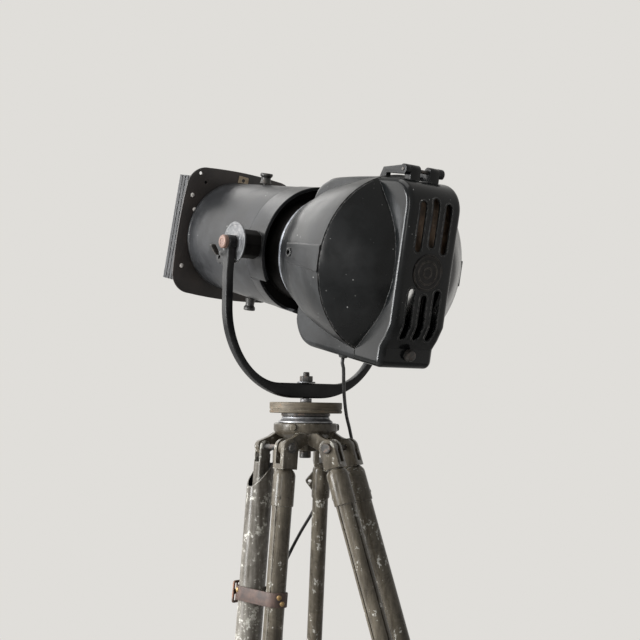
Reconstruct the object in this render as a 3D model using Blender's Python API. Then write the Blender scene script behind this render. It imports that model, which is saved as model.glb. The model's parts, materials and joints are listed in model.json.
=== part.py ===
# A small stage spot in its yoke, standing on a tripod with three tubular legs.
# Metres, +Z up. The lamp points to -Y and tilts about X. The tripod stands on z = 0.
import math
import bpy
import bmesh
from mathutils import Matrix, Vector
from mathutils.geometry import interpolate_bezier

for thing in list(bpy.data.objects):
    bpy.data.objects.remove(thing, do_unlink=True)

# Clearances
seatGap = 0.0003
runGap = 0.0006
weldDistance = 0.000003

# Facets round a full turn
fineSteps = 30
midSteps = 18
tubeSteps = 12
smallSteps = 8

# Stand head
headHeight = 1.10
discRadius = 0.0534
discThickness = 0.0159
neckRadius = 0.036
ringTop = -0.021
ringHeight = 0.009
ringLowRadius = 0.040
hubRadius = 0.047
hubWallHeight = 0.010
hubHeight = 0.029
hubFootRadius = 0.022
collarRadius = 0.018
collarHeight = 0.012
headBoltRadius = 0.0085

# Legs
legAzimuths = {"left": 0.0, "right": 120.0, "far": 240.0}
legTilts = {"left": 4.0, "right": 17.5, "far": 16.0}
legPivotRadius = 0.054
legPivotDrop = 0.065
tubeSpread = 0.031
tubeRadius = 0.014
farTubeRadius = 0.012
thickTubeRadius = 0.019
tubeWall = 0.0018
forkWidth = 0.026
forkRadius = 0.013
forkLength = 0.030
forkRoot = 0.004
slitFloor = 0.007
mouthStep = 0.008
mouthAngle = -52.0
socketLength = 0.052
socketWall = 0.0018
socketOverlap = 0.034
earThickness = 0.010
earRadius = 0.0115
pinRadius = 0.004
pinHeadRadius = 0.0075
pinHeadHeight = 0.003
lugReach = 0.011
lugHalfHeight = 0.016
lugThickness = 0.005
lugHoleRadius = 0.0028
clampTop = -0.600
clampHeight = 0.045
clampDepth = 0.044
clampWall = 0.006
clampFloor = 0.003
clampBoltHead = 0.006
clampBoltRadius = 0.005
sliderRadius = 0.013
sliderWall = 0.0018
sliderTop = -0.420
footSleeveRadius = 0.0175
footSleeveHeight = 0.062
soleRadius = 0.027
soleThickness = 0.009
soleEdge = 0.0015
soleLift = 0.028

# Strap on the left leg
strapDrop = 0.213
strapHeight = 0.020
strapThickness = 0.0028
buckleWidth = 0.026
buckleHeight = 0.032
buckleBar = 0.0035
buckleAngle = -125.0

# Yoke
pivotHeight = 0.2252
yokeHalfWidth = 0.157
yokeBar = 0.012
yokeDepth = 0.013
yokeLowFace = 0.006
yokeStrapThickness = 0.022
yokeFlatHalf = 0.044
yokeArmFoot = 0.118
eyeInset = 0.010
eyeOuterX = yokeHalfWidth - eyeInset
eyeThickness = 0.012
eyeRadius = 0.016
lockReach = 0.020
lockDrop = 0.020
lockLugRadius = 0.009
lockStudRadius = 0.0028
wingSpan = 0.030
wingHubRadius = 0.0055
wingHubLength = 0.009
yokeBoltRadius = 0.005
yokeNutRadius = 0.0085
yokeNutHeight = 0.008
yokeWasherRadius = 0.0135
yokeWasherHeight = 0.002
spacerRadius = 0.0085

# Tilt pivot
tiltAngle = 11.9
pivotBoltRadius = 0.006
pivotHeadRadius = 0.0097
pivotHeadHeight = 0.0075
frictionDiscRadius = 0.030
frictionDiscThickness = 0.003
trunnionRadius = 0.021

# Barrel
rimRadius = 0.0943
barrelTaper = 0.030
barrelWall = 0.0020
rearRim = -0.023
bandFront = 0.0229
bandLap = 0.018
bandStep = 0.0008
notchWidth = 0.066
notchDepth = 0.021
notchAngle = -52.0
plateBack = 0.2166
plateThickness = 0.0025
plateSide = 0.208
plateCorner = 0.034
plateBulge = 0.003
plateRoll = 2.9
plateHole = 0.080
plateScrewRadius = 0.0035
cornerHoleAside = 0.020
cornerHoleBelow = 0.014
lowHoleAside = 0.024
lowHoleBelow = 0.030
rivetInset = 0.007
rivetShare = 0.6
runnerHalfWidth = 0.094
runnerHeight = 0.169
runnerDepth = 0.038
runnerWall = 0.0013
runnerRailWidth = 0.010
runnerSlots = 4
runnerSheet = 0.0016

# Gate
gateTubeRadius = 0.076
gateTubeWall = 0.003
gateTubeBack = -0.078
gateRingLip = 0.006
gateRingPlace = -0.048
gateRingThickness = 0.004

# Lens carriage
carriagePlace = 0.143
carriageTravel = 0.040
carriageRadius = 0.0845
carriageDepth = 0.017
lensRadius = 0.074
lensLip = 0.070
lensEdge = 0.006
lensSag = 0.022
knobStudRadius = 0.003
knobBase = 0.0945
topKnobRadius = 0.010
topKnobHeight = 0.0165
lowKnobRadius = 0.009
lowKnobHeight = 0.019
slotHalfWidth = 0.0042
guideHalfWidth = 0.004
guideOverrun = 0.002

# Lamphouse
houseWall = 0.004
neckFace = -0.058
splitPlace = -0.2043
splitGap = 0.0003
splitOverrun = 0.016
frontBowl = [(-0.058, 0.087), (-0.066, 0.0885), (-0.080, 0.095), (-0.095, 0.101), (-0.110, 0.106),
             (-0.132, 0.111), (-0.165, 0.118), (-0.190, 0.1215), (-0.2043, 0.1229)]
rearBowl = [(-0.2046, 0.1222), (-0.209, 0.118), (-0.225, 0.101), (-0.240, 0.085), (-0.252, 0.070),
            (-0.258, 0.058), (-0.263, 0.047), (-0.267, 0.030), (-0.269, 0.014)]
spineHalfWidth = 0.045
spineEdge = 0.009
spineTop = 0.117
spineBottom = -0.130
spineBack = -0.277
padStart = -0.092
padHalfLow = 0.0127
padHalfHigh = 0.019
padProud = 0.002
padRoot = 0.080
padNeck = 0.1045
padHolePlace = -0.104
padHoleRadius = 0.0036
slotWidth = 0.0135
slotPitch = 0.0215
sideSlotNear = 0.024
sideSlotFar = 0.092
midSlotNear = 0.031
midSlotFar = 0.097
lowSlotShift = 0.003
lowSlotFar = 0.091
badgeRadius = 0.024
badgeThickness = 0.0016
hingePlace = -0.238
hingeHeight = 0.129
knuckleRadius = 0.007
hingePinRadius = 0.0025
earInner = 0.025
earOuter = 0.033
knuckleInner = 0.008
latchHeight = -0.111
latchKnobRadius = 0.0078
latchKnobLength = 0.009
latchStudRadius = 0.0029
mirrorThickness = 0.0015
mirrorPath = [(-0.2065, 0.1040), (-0.222, 0.092), (-0.234, 0.076), (-0.243, 0.056), (-0.249, 0.034),
              (-0.251, 0.014)]
baffleLow = 0.020
baffleHigh = 0.096
baffleLean = 0.014
baffleSheet = 0.0015
bulbPlace = -0.180
bulbRadius = 0.016
bulbTop = 0.046
holderRadius = 0.019
holderTop = -0.055
holderHeight = 0.040
trayHalf = 0.016
glandPlace = -0.135
glandAside = 0.010
glandRadius = 0.0105
glandTip = 0.0055
glandReach = 0.008
glandLength = 0.024

# Mains lead
cordRadius = 0.0025
cordBore = 0.0029
coilMiddle = 0.0275
coilPitch = 0.0063
coilRise = 0.0065
coilTurns = 3
coilStart = 252.0
coilLoopPoints = 24
plugRadius = 0.019
plugLength = 0.045
plugPinPitch = 0.0085
plugPinRadius = 0.0032
plugPinReach = 0.016

# Colours: base colour, roughness, metallic
paints = {
    "black_paint": ((0.028, 0.029, 0.031), 0.48, 0.0),
    "plate_black": ((0.016, 0.013, 0.012), 0.55, 0.0),
    "bright_steel": ((0.55, 0.56, 0.57), 0.38, 1.0),
    "dark_steel": ((0.05, 0.048, 0.046), 0.45, 0.8),
    "army_green": ((0.105, 0.095, 0.068), 0.42, 0.0),
    "aluminium": ((0.62, 0.63, 0.64), 0.40, 1.0),
    "leather": ((0.055, 0.030, 0.018), 0.70, 0.0),
    "brass": ((0.45, 0.32, 0.14), 0.40, 1.0),
    "glass": ((0.85, 0.90, 0.90), 0.05, 0.0),
    "mirror": ((0.82, 0.83, 0.84), 0.12, 1.0),
    "ceramic": ((0.72, 0.69, 0.62), 0.35, 0.0),
    "cord_rubber": ((0.012, 0.012, 0.012), 0.60, 0.0),
}


def paint(name):
    material = bpy.data.materials.get(name)
    if material:
        return material
    material = bpy.data.materials.new(name)
    material.use_nodes = True
    colour, roughness, metallic = paints[name]
    shader = material.node_tree.nodes["Principled BSDF"]
    shader.inputs["Base Color"].default_value = (*colour, 1.0)
    shader.inputs["Roughness"].default_value = roughness
    shader.inputs["Metallic"].default_value = metallic
    material.diffuse_color = (*colour, 1.0)
    return material


def joint(name, parent, place, turn=(0.0, 0.0, 0.0)):
    frame = bpy.data.objects.new(name, None)
    bpy.context.collection.objects.link(frame)
    frame.parent = parent
    frame.location = place
    frame.rotation_euler = turn
    return frame


def piece(name, shape, parent, finish):
    mesh = bpy.data.meshes.new(name)
    shape.normal_update()
    bmesh.ops.recalc_face_normals(shape, faces=shape.faces)
    shape.to_mesh(mesh)
    shape.free()
    mesh.shade_smooth()
    mesh.set_sharp_from_angle(angle=math.radians(35.0))
    thing = bpy.data.objects.new(name, mesh)
    bpy.context.collection.objects.link(thing)
    thing.parent = parent
    thing.data.materials.append(paint(finish))
    return thing


def cutter(name, shape, parent):
    thing = piece(name, shape, parent, "dark_steel")
    thing.hide_render = True
    thing.display_type = "WIRE"
    return thing


def combine(target, tool, operation="DIFFERENCE"):
    step = target.modifiers.new(tool.name, "BOOLEAN")
    step.operation = operation
    step.solver = "EXACT"
    step.object = tool
    seam = target.modifiers.new("seam", "WELD")
    seam.merge_threshold = weldDistance


def soften(target, width, segments=2):
    step = target.modifiers.new("edges", "BEVEL")
    step.width = width
    step.segments = segments
    step.limit_method = "ANGLE"
    step.angle_limit = math.radians(50.0)


# Shapes. A turned profile lists (height, radius) along its own axis.
axisTurns = {
    "up": Matrix.Identity(4),
    "forward": Matrix.Rotation(math.pi / 2, 4, "X"),
    "across": Matrix.Rotation(math.pi / 2, 4, "Y"),
}


def turned(profile, axis="up", centre=(0.0, 0.0, 0.0), steps=midSteps, closed=True):
    shape = bmesh.new()
    corners = [shape.verts.new((radius, 0.0, height)) for height, radius in profile]
    sides = [shape.edges.new(pair) for pair in zip(corners, corners[1:])]
    if closed:
        sides.append(shape.edges.new((corners[-1], corners[0])))
    bmesh.ops.spin(shape, geom=corners + sides, cent=(0, 0, 0), axis=(0, 0, 1), angle=2 * math.pi,
                   steps=steps, use_merge=True)
    bmesh.ops.remove_doubles(shape, verts=shape.verts, dist=1e-7)
    shape.transform(Matrix.Translation(centre) @ axisTurns[axis])
    return shape


def rod(radius, low, high, axis="up", centre=(0.0, 0.0, 0.0), steps=tubeSteps):
    return turned([(low, 0.0), (low, radius), (high, radius), (high, 0.0)], axis, centre, steps, False)


def pipe(outer, inner, low, high, axis="up", centre=(0.0, 0.0, 0.0), steps=tubeSteps):
    return turned([(low, inner), (low, outer), (high, outer), (high, inner)], axis, centre, steps)


# A prism's outline lies in the plane named, and its thickness runs along the third axis.
planeTurns = {
    "xy": Matrix.Identity(4),
    "xz": Matrix(((1, 0, 0, 0), (0, 0, 1, 0), (0, 1, 0, 0), (0, 0, 0, 1))),
    "yz": Matrix(((0, 0, 1, 0), (1, 0, 0, 0), (0, 1, 0, 0), (0, 0, 0, 1))),
}


def prism(outline, low, high, plane):
    shape = bmesh.new()
    floor = shape.faces.new([shape.verts.new((a, b, low)) for a, b in outline])
    grown = bmesh.ops.extrude_face_region(shape, geom=[floor])
    moved = [item for item in grown["geom"] if isinstance(item, bmesh.types.BMVert)]
    bmesh.ops.translate(shape, verts=moved, vec=(0, 0, high - low))
    shape.transform(planeTurns[plane])
    return shape


def box(low, high):
    outline = [(low[0], low[1]), (high[0], low[1]), (high[0], high[1]), (low[0], high[1])]
    return prism(outline, low[2], high[2], "xy")


def arc(centre, radius, start, end, steps):
    turn = [math.radians(start + (end - start) * step / steps) for step in range(steps + 1)]
    return [(centre[0] + radius * math.cos(a), centre[1] + radius * math.sin(a)) for a in turn]


def inset(outline, distance):
    # Moves each side of an outline inwards; the outline runs anticlockwise.
    moved = []
    for index, corner in enumerate(outline):
        before = Vector(corner) - Vector(outline[index - 1])
        after = Vector(outline[(index + 1) % len(outline)]) - Vector(corner)
        inA = Vector((-before.y, before.x)).normalized()
        inB = Vector((-after.y, after.x)).normalized()
        bisector = (inA + inB) / (1.0 + inA.dot(inB))
        moved.append(tuple(Vector(corner) + bisector * distance))
    return moved


def moved(shape, matrix):
    shape.transform(matrix)
    return shape


# The stand's own frame has its origin on the head disc's axis, at the floor.
stand = joint("stand", None, (0.0, 0.0, 0.0))
head = joint("head", stand, (0.0, 0.0, headHeight))
pan = joint("pan_axis", head, (0.0, 0.0, 0.0))
tilt = joint("tilt_axis", pan, (0.0, 0.0, pivotHeight), (-math.radians(tiltAngle), 0.0, 0.0))

neckFoot = ringTop - ringHeight
hubTop = neckFoot - seatGap
hubFoot = hubTop - hubHeight


def lampPoint(aside, forward, up):
    return tilt.matrix_world @ Vector((aside, -forward, up))


def makeHead():
    groove = -discThickness + 0.005
    rimDrop = 0.0012
    profile = [(-rimDrop, yokeBoltRadius + seatGap), (-rimDrop, discRadius - 0.005), (0.0, discRadius - 0.004),
               (0.0, discRadius), (groove + 0.001, discRadius), (groove, discRadius - 0.0012),
               (groove - 0.001, discRadius), (-discThickness, discRadius - 0.001),
               (-discThickness, yokeBoltRadius + seatGap)]
    piece("head_disc", turned(profile, steps=fineSteps), head, "army_green")
    neckTop = -discThickness - seatGap
    profile = [(neckTop, yokeBoltRadius + seatGap), (neckTop, neckRadius), (ringTop + 0.0006, neckRadius),
               (ringTop, neckRadius - 0.003), (neckFoot, neckRadius - 0.003), (neckFoot, yokeBoltRadius + seatGap)]
    piece("head_neck", turned(profile, steps=midSteps + 4), head, "dark_steel")
    bore = neckRadius - 0.003 + seatGap
    profile = [(ringTop, bore), (ringTop, neckRadius - 0.001), (ringTop - 0.002, neckRadius - 0.001),
               (neckFoot + 0.0015, ringLowRadius), (neckFoot, ringLowRadius), (neckFoot, bore)]
    piece("neck_ring", turned(profile, steps=midSteps + 4), head, "aluminium")
    makeHub()
    top = yokeLowFace + yokeStrapThickness + yokeWasherHeight + 2 * seatGap
    stem = top + yokeNutHeight + 0.006
    profile = [(hubFoot - collarHeight - 0.010, 0.0), (hubFoot - collarHeight - 0.010, headBoltRadius),
               (hubFoot - collarHeight - seatGap, headBoltRadius), (hubFoot - collarHeight - seatGap, yokeBoltRadius),
               (stem, yokeBoltRadius), (stem, 0.0)]
    piece("yoke_bolt", turned(profile, steps=tubeSteps, closed=False), head, "dark_steel")
    nutBore = (yokeBoltRadius + seatGap) / math.cos(math.radians(30.0))
    rise = [(top, nutBore), (top, yokeNutRadius), (top + yokeNutHeight, yokeNutRadius), (top + yokeNutHeight, nutBore)]
    piece("yoke_nut", turned(rise, steps=6), head, "dark_steel")
    base = yokeLowFace + yokeStrapThickness + seatGap
    washer = pipe(yokeWasherRadius, yokeBoltRadius + seatGap, base, base + yokeWasherHeight)
    piece("yoke_washer", washer, head, "dark_steel")
    low = -0.0012 + seatGap
    spacer = pipe(spacerRadius, yokeBoltRadius + seatGap, low, yokeLowFace - seatGap)
    piece("yoke_spacer", spacer, head, "dark_steel")


def makeHub():
    wallFoot = hubTop - hubWallHeight
    bore = yokeBoltRadius + seatGap
    profile = [(hubTop, bore), (hubTop, hubRadius - 0.0015), (hubTop - 0.0015, hubRadius), (wallFoot, hubRadius),
               (wallFoot - 0.006, hubRadius - 0.004), (hubFoot + 0.004, hubFootRadius + 0.006),
               (hubFoot, hubFootRadius), (hubFoot, collarRadius), (hubFoot - collarHeight, collarRadius),
               (hubFoot - collarHeight, bore)]
    hub = piece("hub", turned(profile, steps=midSteps + 4), head, "army_green")
    earTop = hubTop - 0.002
    for name, azimuth in legAzimuths.items():
        for side in (-1, 1):
            middle = side * tubeSpread
            outline = [(0.016, earTop - 0.024), (0.016, earTop), (legPivotRadius - 0.016, earTop)]
            outline += arc((legPivotRadius, -legPivotDrop), earRadius, 50.0, -120.0, 6)
            ear = prism(outline, middle - earThickness / 2, middle + earThickness / 2, "xz")
            bmesh.ops.transform(ear, matrix=Matrix.Rotation(math.radians(azimuth), 4, "Z"), verts=ear.verts)
            combine(hub, cutter(f"ear_{name}_{side}", ear, head), "UNION")
        reach = tubeSpread + forkWidth
        hole = rod(pinRadius + seatGap, -reach, reach, "forward", (legPivotRadius, 0.0, -legPivotDrop), smallSteps)
        bmesh.ops.transform(hole, matrix=Matrix.Rotation(math.radians(azimuth), 4, "Z"), verts=hole.verts)
        combine(hub, cutter(f"pin_hole_{name}", hole, head))


def cheekSize(radius):
    # Half the width of a fork's cheeks across the pin, and the radius of their rounded tops.
    if radius < thickTubeRadius:
        return forkWidth / 2, forkRadius
    core = thickTubeRadius - tubeWall
    return core * 0.65, core * 0.71


def makeLegPins():
    for name, azimuth in legAzimuths.items():
        radii = legRadii(name)
        low = -tubeSpread - cheekSize(radii[-1])[0] - runGap
        high = tubeSpread + cheekSize(radii[1])[0] + runGap
        profile = [(low - pinHeadHeight, 0.0), (low - pinHeadHeight, pinHeadRadius), (low, pinHeadRadius),
                   (low, pinRadius), (high, pinRadius), (high, pinHeadRadius),
                   (high + pinHeadHeight, pinHeadRadius), (high + pinHeadHeight, 0.0)]
        profile = [(-along, across) for along, across in profile]
        pin = turned(profile, "forward", (legPivotRadius, 0.0, -legPivotDrop), smallSteps, False)
        turn = Matrix.Rotation(math.radians(azimuth), 4, "Z")
        piece(f"leg_{name}_pin", moved(pin, turn), head, "dark_steel")


def legRadii(name):
    if name == "left":
        return {-1: thickTubeRadius, 1: tubeRadius}
    if name == "far":
        return {-1: farTubeRadius, 1: farTubeRadius}
    return {-1: tubeRadius, 1: tubeRadius}


def sliderAside(name):
    radii = legRadii(name)
    return (radii[-1] - radii[1]) / 2


def makeMember(name, frame, middle, radius, thick):
    # A leg tube with the forked socket that is brazed on its top end.
    outer = radius + socketWall
    low = -forkLength - socketLength
    top = low + socketOverlap
    if thick:
        outer = radius - tubeWall + seatGap
        low = -forkLength - socketOverlap
        top = 0.006
    spot = (0.0, middle, 0.0)
    foot = clampTop - clampHeight * 0.9
    shape = pipe(radius, radius - tubeWall, foot, top, centre=spot)
    member = piece(name, shape, frame, "army_green")
    if thick:
        wide = 2 * radius
        mouth = box((-2 * wide, middle - wide, 0.0), (2 * wide, middle + wide, 3 * wide))
        slope = Matrix.Translation((radius - mouthStep, 0.0, top)) @ Matrix.Rotation(math.radians(mouthAngle), 4, "Y")
        combine(member, cutter(f"{name}_mouth", moved(mouth, slope), frame))
    body = rod(outer, low, -forkLength + forkRoot, centre=spot)
    combine(member, cutter(f"{name}_socket", body, frame), "UNION")
    half, cap = cheekSize(radius)
    outline = arc((0.0, 0.0), cap, 0.0, 180.0, 8) + [(-cap, -forkLength), (cap, -forkLength)]
    cheeks = prism(outline, middle - half, middle + half, "xz")
    combine(member, cutter(f"{name}_cheeks", cheeks, frame), "UNION")
    slit = earThickness / 2 + runGap
    reach = forkRadius + 0.002
    gap = box((-2 * reach, middle - slit, -forkLength + slitFloor), (reach, middle + slit, 2 * reach))
    combine(member, cutter(f"{name}_slit", gap, frame))
    hole = rod(pinRadius + runGap, -forkWidth, forkWidth, "forward", spot, smallSteps)
    combine(member, cutter(f"{name}_hole", hole, frame))
    if thick:
        return
    inward = -math.copysign(1.0, middle)
    lugTop = -forkLength - socketLength / 2 + lugHalfHeight
    wall = middle + inward * (outer - 0.001)
    tip = middle + inward * (outer + lugReach)
    lug = prism([(wall, lugTop), (tip, lugTop - lugHalfHeight), (wall, lugTop - 2 * lugHalfHeight)],
                -lugThickness / 2, lugThickness / 2, "yz")
    combine(member, cutter(f"{name}_lug", lug, frame), "UNION")
    place = middle + inward * (outer + lugReach * 0.35)
    eye = rod(lugHoleRadius, -lugThickness, lugThickness, "across", (0.0, place, lugTop - lugHalfHeight), smallSteps)
    combine(member, cutter(f"{name}_lug_hole", eye, frame))


def makeLeg(name):
    azimuth = math.radians(legAzimuths[name])
    lean = math.radians(legTilts[name])
    place = (legPivotRadius * math.cos(azimuth), legPivotRadius * math.sin(azimuth), -legPivotDrop)
    frame = joint(f"leg_{name}_axis", head, place, (0.0, -lean, azimuth))
    radii = legRadii(name)
    for side, label in ((-1, "a"), (1, "b")):
        radius = radii[side]
        thick = radius == thickTubeRadius
        makeMember(f"leg_{name}_tube_{label}", frame, side * tubeSpread, radius, thick)
    middle = sliderAside(name)
    low = clampTop - clampHeight
    left = -tubeSpread - radii[-1] - clampWall
    right = tubeSpread + radii[1] + clampWall
    block = box((-clampDepth / 2, left, low), (clampDepth / 2, right, clampTop))
    clamp = piece(f"leg_{name}_clamp", block, frame, "army_green")
    soften(clamp, 0.006, 1)
    past = clampHeight / 4
    for side in (-1, 1):
        hole = rod(radii[side] + seatGap, low + clampFloor, clampTop + past, centre=(0.0, side * tubeSpread, 0.0))
        combine(clamp, cutter(f"leg_{name}_seat_{side}", hole, frame))
    guide = rod(sliderRadius + seatGap, low - past, clampTop + past, centre=(0.0, middle, 0.0))
    combine(clamp, cutter(f"leg_{name}_guide", guide, frame))
    bolt = rod(clampBoltRadius, clampDepth / 2 - clampBoltHead / 3, clampDepth / 2 + clampBoltHead, "across",
               (0.0, middle, clampTop - clampHeight / 2), 6)
    combine(clamp, cutter(f"leg_{name}_clamp_bolt", bolt, frame), "UNION")
    makeLowerLeg(name, frame, middle, lean)


def makeLowerLeg(name, frame, middle, lean):
    length = (headHeight - legPivotDrop) / math.cos(lean)
    slide = joint(f"leg_{name}_slide", frame, (0.0, 0.0, 0.0))
    spot = (0.0, middle, 0.0)
    tube = pipe(sliderRadius, sliderRadius - sliderWall, -length + soleLift, sliderTop, centre=spot)
    piece(f"leg_{name}_slider", tube, slide, "army_green")
    base = -length + soleThickness + 0.001
    sleeve = rod(footSleeveRadius, base, base + footSleeveHeight, centre=spot)
    foot = piece(f"leg_{name}_foot", sleeve, slide, "dark_steel")
    flat = Matrix.Translation((0.0, middle, -length)) @ Matrix.Rotation(lean, 4, "Y")
    profile = [(0.0, 0.0), (0.0, soleRadius - soleEdge), (soleEdge, soleRadius), (soleThickness, soleRadius - soleEdge),
               (soleThickness + soleEdge, footSleeveRadius), (soleThickness + soleEdge, 0.0)]
    sole = turned(profile, closed=False)
    combine(foot, cutter(f"leg_{name}_sole", moved(sole, flat), slide), "UNION")
    bore = rod(sliderRadius + seatGap, -length + soleLift - seatGap, -length + 2 * footSleeveHeight, centre=spot)
    combine(foot, cutter(f"leg_{name}_foot_bore", bore, slide))


def strapOutline(grow):
    # The band runs round the thick tube and the thin one beside it.
    big = thickTubeRadius + grow
    small = tubeRadius + grow
    lean = math.degrees(math.asin((big - small) / (2 * tubeSpread)))
    outline = arc((0.0, -tubeSpread), big, 180.0 - lean, 360.0 + lean, 14)
    outline += arc((0.0, tubeSpread), small, lean, 180.0 - lean, smallSteps)
    return outline


def makeStrap():
    frame = bpy.data.objects["leg_left_axis"]
    low = -strapDrop - strapHeight
    outer = prism(strapOutline(seatGap + strapThickness), low, low + strapHeight, "xy")
    strap = piece("leg_strap", outer, frame, "leather")
    inner = prism(strapOutline(seatGap), low - strapHeight / 2, low + strapHeight * 1.5, "xy")
    combine(strap, cutter("strap_bore", inner, frame))
    half = buckleWidth / 2
    plate = box((-half, 0.0, -buckleHeight / 2), (half, strapThickness, buckleHeight / 2))
    away = thickTubeRadius + strapThickness + 2 * seatGap
    turn = Matrix.Translation((0.0, -tubeSpread, low + strapHeight / 2))
    turn = turn @ Matrix.Rotation(math.radians(buckleAngle), 4, "Z") @ Matrix.Translation((0.0, away, 0.0))
    buckle = piece("strap_buckle", moved(plate, turn), frame, "brass")
    for end in (-1, 1):
        middle = end * buckleHeight / 4
        tall = buckleHeight / 4 - buckleBar
        window = box((-half + buckleBar, -buckleBar, middle - tall), (half - buckleBar, 2 * buckleBar, middle + tall))
        combine(buckle, cutter(f"buckle_window_{end}", moved(window, turn), frame))


def yokeOutline():
    outerX = yokeHalfWidth
    innerX = yokeHalfWidth - yokeBar
    lean = yokeHalfWidth - eyeOuterX
    innerFloor = yokeLowFace + yokeStrapThickness
    right = []
    for step in range(9):
        angle = math.radians(-90.0 + 90.0 * step / 8)
        right.append((yokeFlatHalf + (outerX - yokeFlatHalf) * math.cos(angle),
                      yokeArmFoot + (yokeArmFoot - yokeLowFace) * math.sin(angle)))
    right += [(outerX, yokeArmFoot + 0.045), (eyeOuterX, pivotHeight - 0.022), (eyeOuterX, pivotHeight)]
    right += [(eyeOuterX - eyeThickness, pivotHeight), (innerX - lean, pivotHeight - 0.022), (innerX, yokeArmFoot + 0.045)]
    for step in range(9):
        angle = math.radians(-90.0 * step / 8)
        right.append((yokeFlatHalf + (innerX - yokeFlatHalf) * math.cos(angle),
                      yokeArmFoot + (yokeArmFoot - innerFloor) * math.sin(angle)))
    return right + [(-x, z) for x, z in reversed(right)]


def makeYoke():
    yoke = piece("yoke", prism(yokeOutline(), -yokeDepth / 2, yokeDepth / 2, "xz"), pan, "black_paint")
    for side in (-1, 1):
        ends = sorted((side * (eyeOuterX - eyeThickness), side * eyeOuterX))
        eye = rod(eyeRadius, ends[0], ends[1], "across", (0.0, 0.0, pivotHeight), tubeSteps)
        combine(yoke, cutter(f"yoke_eye_{side}", eye, pan), "UNION")
        hole = rod(pivotBoltRadius + seatGap, ends[0] - 0.010, ends[1] + 0.010, "across", (0.0, 0.0, pivotHeight), 20)
        combine(yoke, cutter(f"yoke_hole_{side}", hole, pan))
    outline = arc((-lockReach, pivotHeight - lockDrop), lockLugRadius, 100.0, 290.0, 8)
    outline += [(0.0, pivotHeight - 2 * lockDrop), (0.0, pivotHeight - lockDrop / 2)]
    lug = prism(outline, eyeOuterX - eyeThickness + 0.003, eyeOuterX - 0.001, "yz")
    combine(yoke, cutter("yoke_lock_lug", lug, pan), "UNION")
    place = (0.0, -lockReach, pivotHeight - lockDrop)
    stud = rod(lockStudRadius + seatGap, eyeOuterX - 0.040, eyeOuterX + 0.040, "across", place, smallSteps)
    combine(yoke, cutter("yoke_lock_hole", stud, pan))
    bolt = rod(yokeBoltRadius + runGap, -yokeStrapThickness, 3 * yokeStrapThickness)
    combine(yoke, cutter("yoke_bolt_hole", bolt, pan))


def makeLock():
    middle = (0.0, -lockReach, pivotHeight - lockDrop)
    lock = joint("lock_axis", pan, middle)
    tip = frictionDiscX() + frictionDiscThickness + seatGap
    face = eyeOuterX - 0.001 + seatGap
    profile = [(tip, 0.0), (tip, lockStudRadius), (face, lockStudRadius), (face, 0.0065), (face + 0.0015, 0.0065),
               (face + 0.0015, wingHubRadius), (face + wingHubLength, wingHubRadius * 0.8),
               (face + wingHubLength, lockStudRadius), (face + wingHubLength + 0.003, lockStudRadius),
               (face + wingHubLength + 0.003, 0.0)]
    nut = piece("wing_nut", turned(profile, "across", steps=tubeSteps, closed=False), lock, "dark_steel")
    for side in (-1, 1):
        reach = wingSpan / 2
        outline = [(side * 0.003, face + 0.002), (side * reach * 0.7, face + wingHubLength + 0.002)]
        outline += [(side * reach, face + wingHubLength + 0.004), (side * reach, face + wingHubLength - 0.001)]
        outline += [(side * reach * 0.6, face + 0.001 + wingHubLength * 0.3), (side * 0.003, face + 0.0016)]
        wing = prism([(along, across) for across, along in outline], -0.0022, 0.0022, "xy")
        turn = Matrix.Rotation(math.radians(38.0), 4, "X")
        combine(nut, cutter(f"wing_{side}", moved(wing, turn), lock), "UNION")


def frictionDiscX():
    return eyeOuterX - eyeThickness - seatGap - frictionDiscThickness


def makePivots():
    for side, label in ((1, "near"), (-1, "off")):
        low, high = sorted((side * frictionDiscX(), side * (frictionDiscX() + frictionDiscThickness)))
        disc = pipe(frictionDiscRadius, pivotBoltRadius + seatGap, low, high, "across", steps=midSteps + 4)
        piece(f"friction_disc_{label}", disc, tilt, "bright_steel")
        head = eyeOuterX + seatGap
        tip = frictionDiscX() - 0.030
        profile = [(tip, 0.0), (tip, pivotBoltRadius), (head, pivotBoltRadius), (head, pivotHeadRadius),
                   (head + pivotHeadHeight - 0.0015, pivotHeadRadius),
                   (head + pivotHeadHeight, pivotHeadRadius - 0.0015), (head + pivotHeadHeight, 0.0)]
        bolt = turned([(side * along, radius) for along, radius in profile], "across", steps=tubeSteps, closed=False)
        piece(f"pivot_bolt_{label}", bolt, tilt, "bright_steel")


def addTrunnions(band):
    for side in (-1, 1):
        ends = sorted((side * (rimRadius - barrelWall), side * (frictionDiscX() - seatGap)))
        block = rod(trunnionRadius, ends[0], ends[1], "across", steps=8)
        combine(band, cutter(f"trunnion_{side}", block, tilt), "UNION")
    combine(band, cutter("trunnion_inside", rod(bandInnerRadius(), -0.060, 0.060, "forward", steps=fineSteps), tilt))
    for side in (-1, 1):
        ends = sorted((side * (frictionDiscX() - 0.031), side * 0.150))
        hole = rod(pivotBoltRadius + seatGap, ends[0], ends[1], "across")
        combine(band, cutter(f"trunnion_hole_{side}", hole, tilt))


def barrelRadius(forward):
    return rimRadius - barrelTaper * (forward - rearRim)


def bandInnerRadius():
    return barrelRadius(bandFront) - bandStep - barrelWall + seatGap


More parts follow.
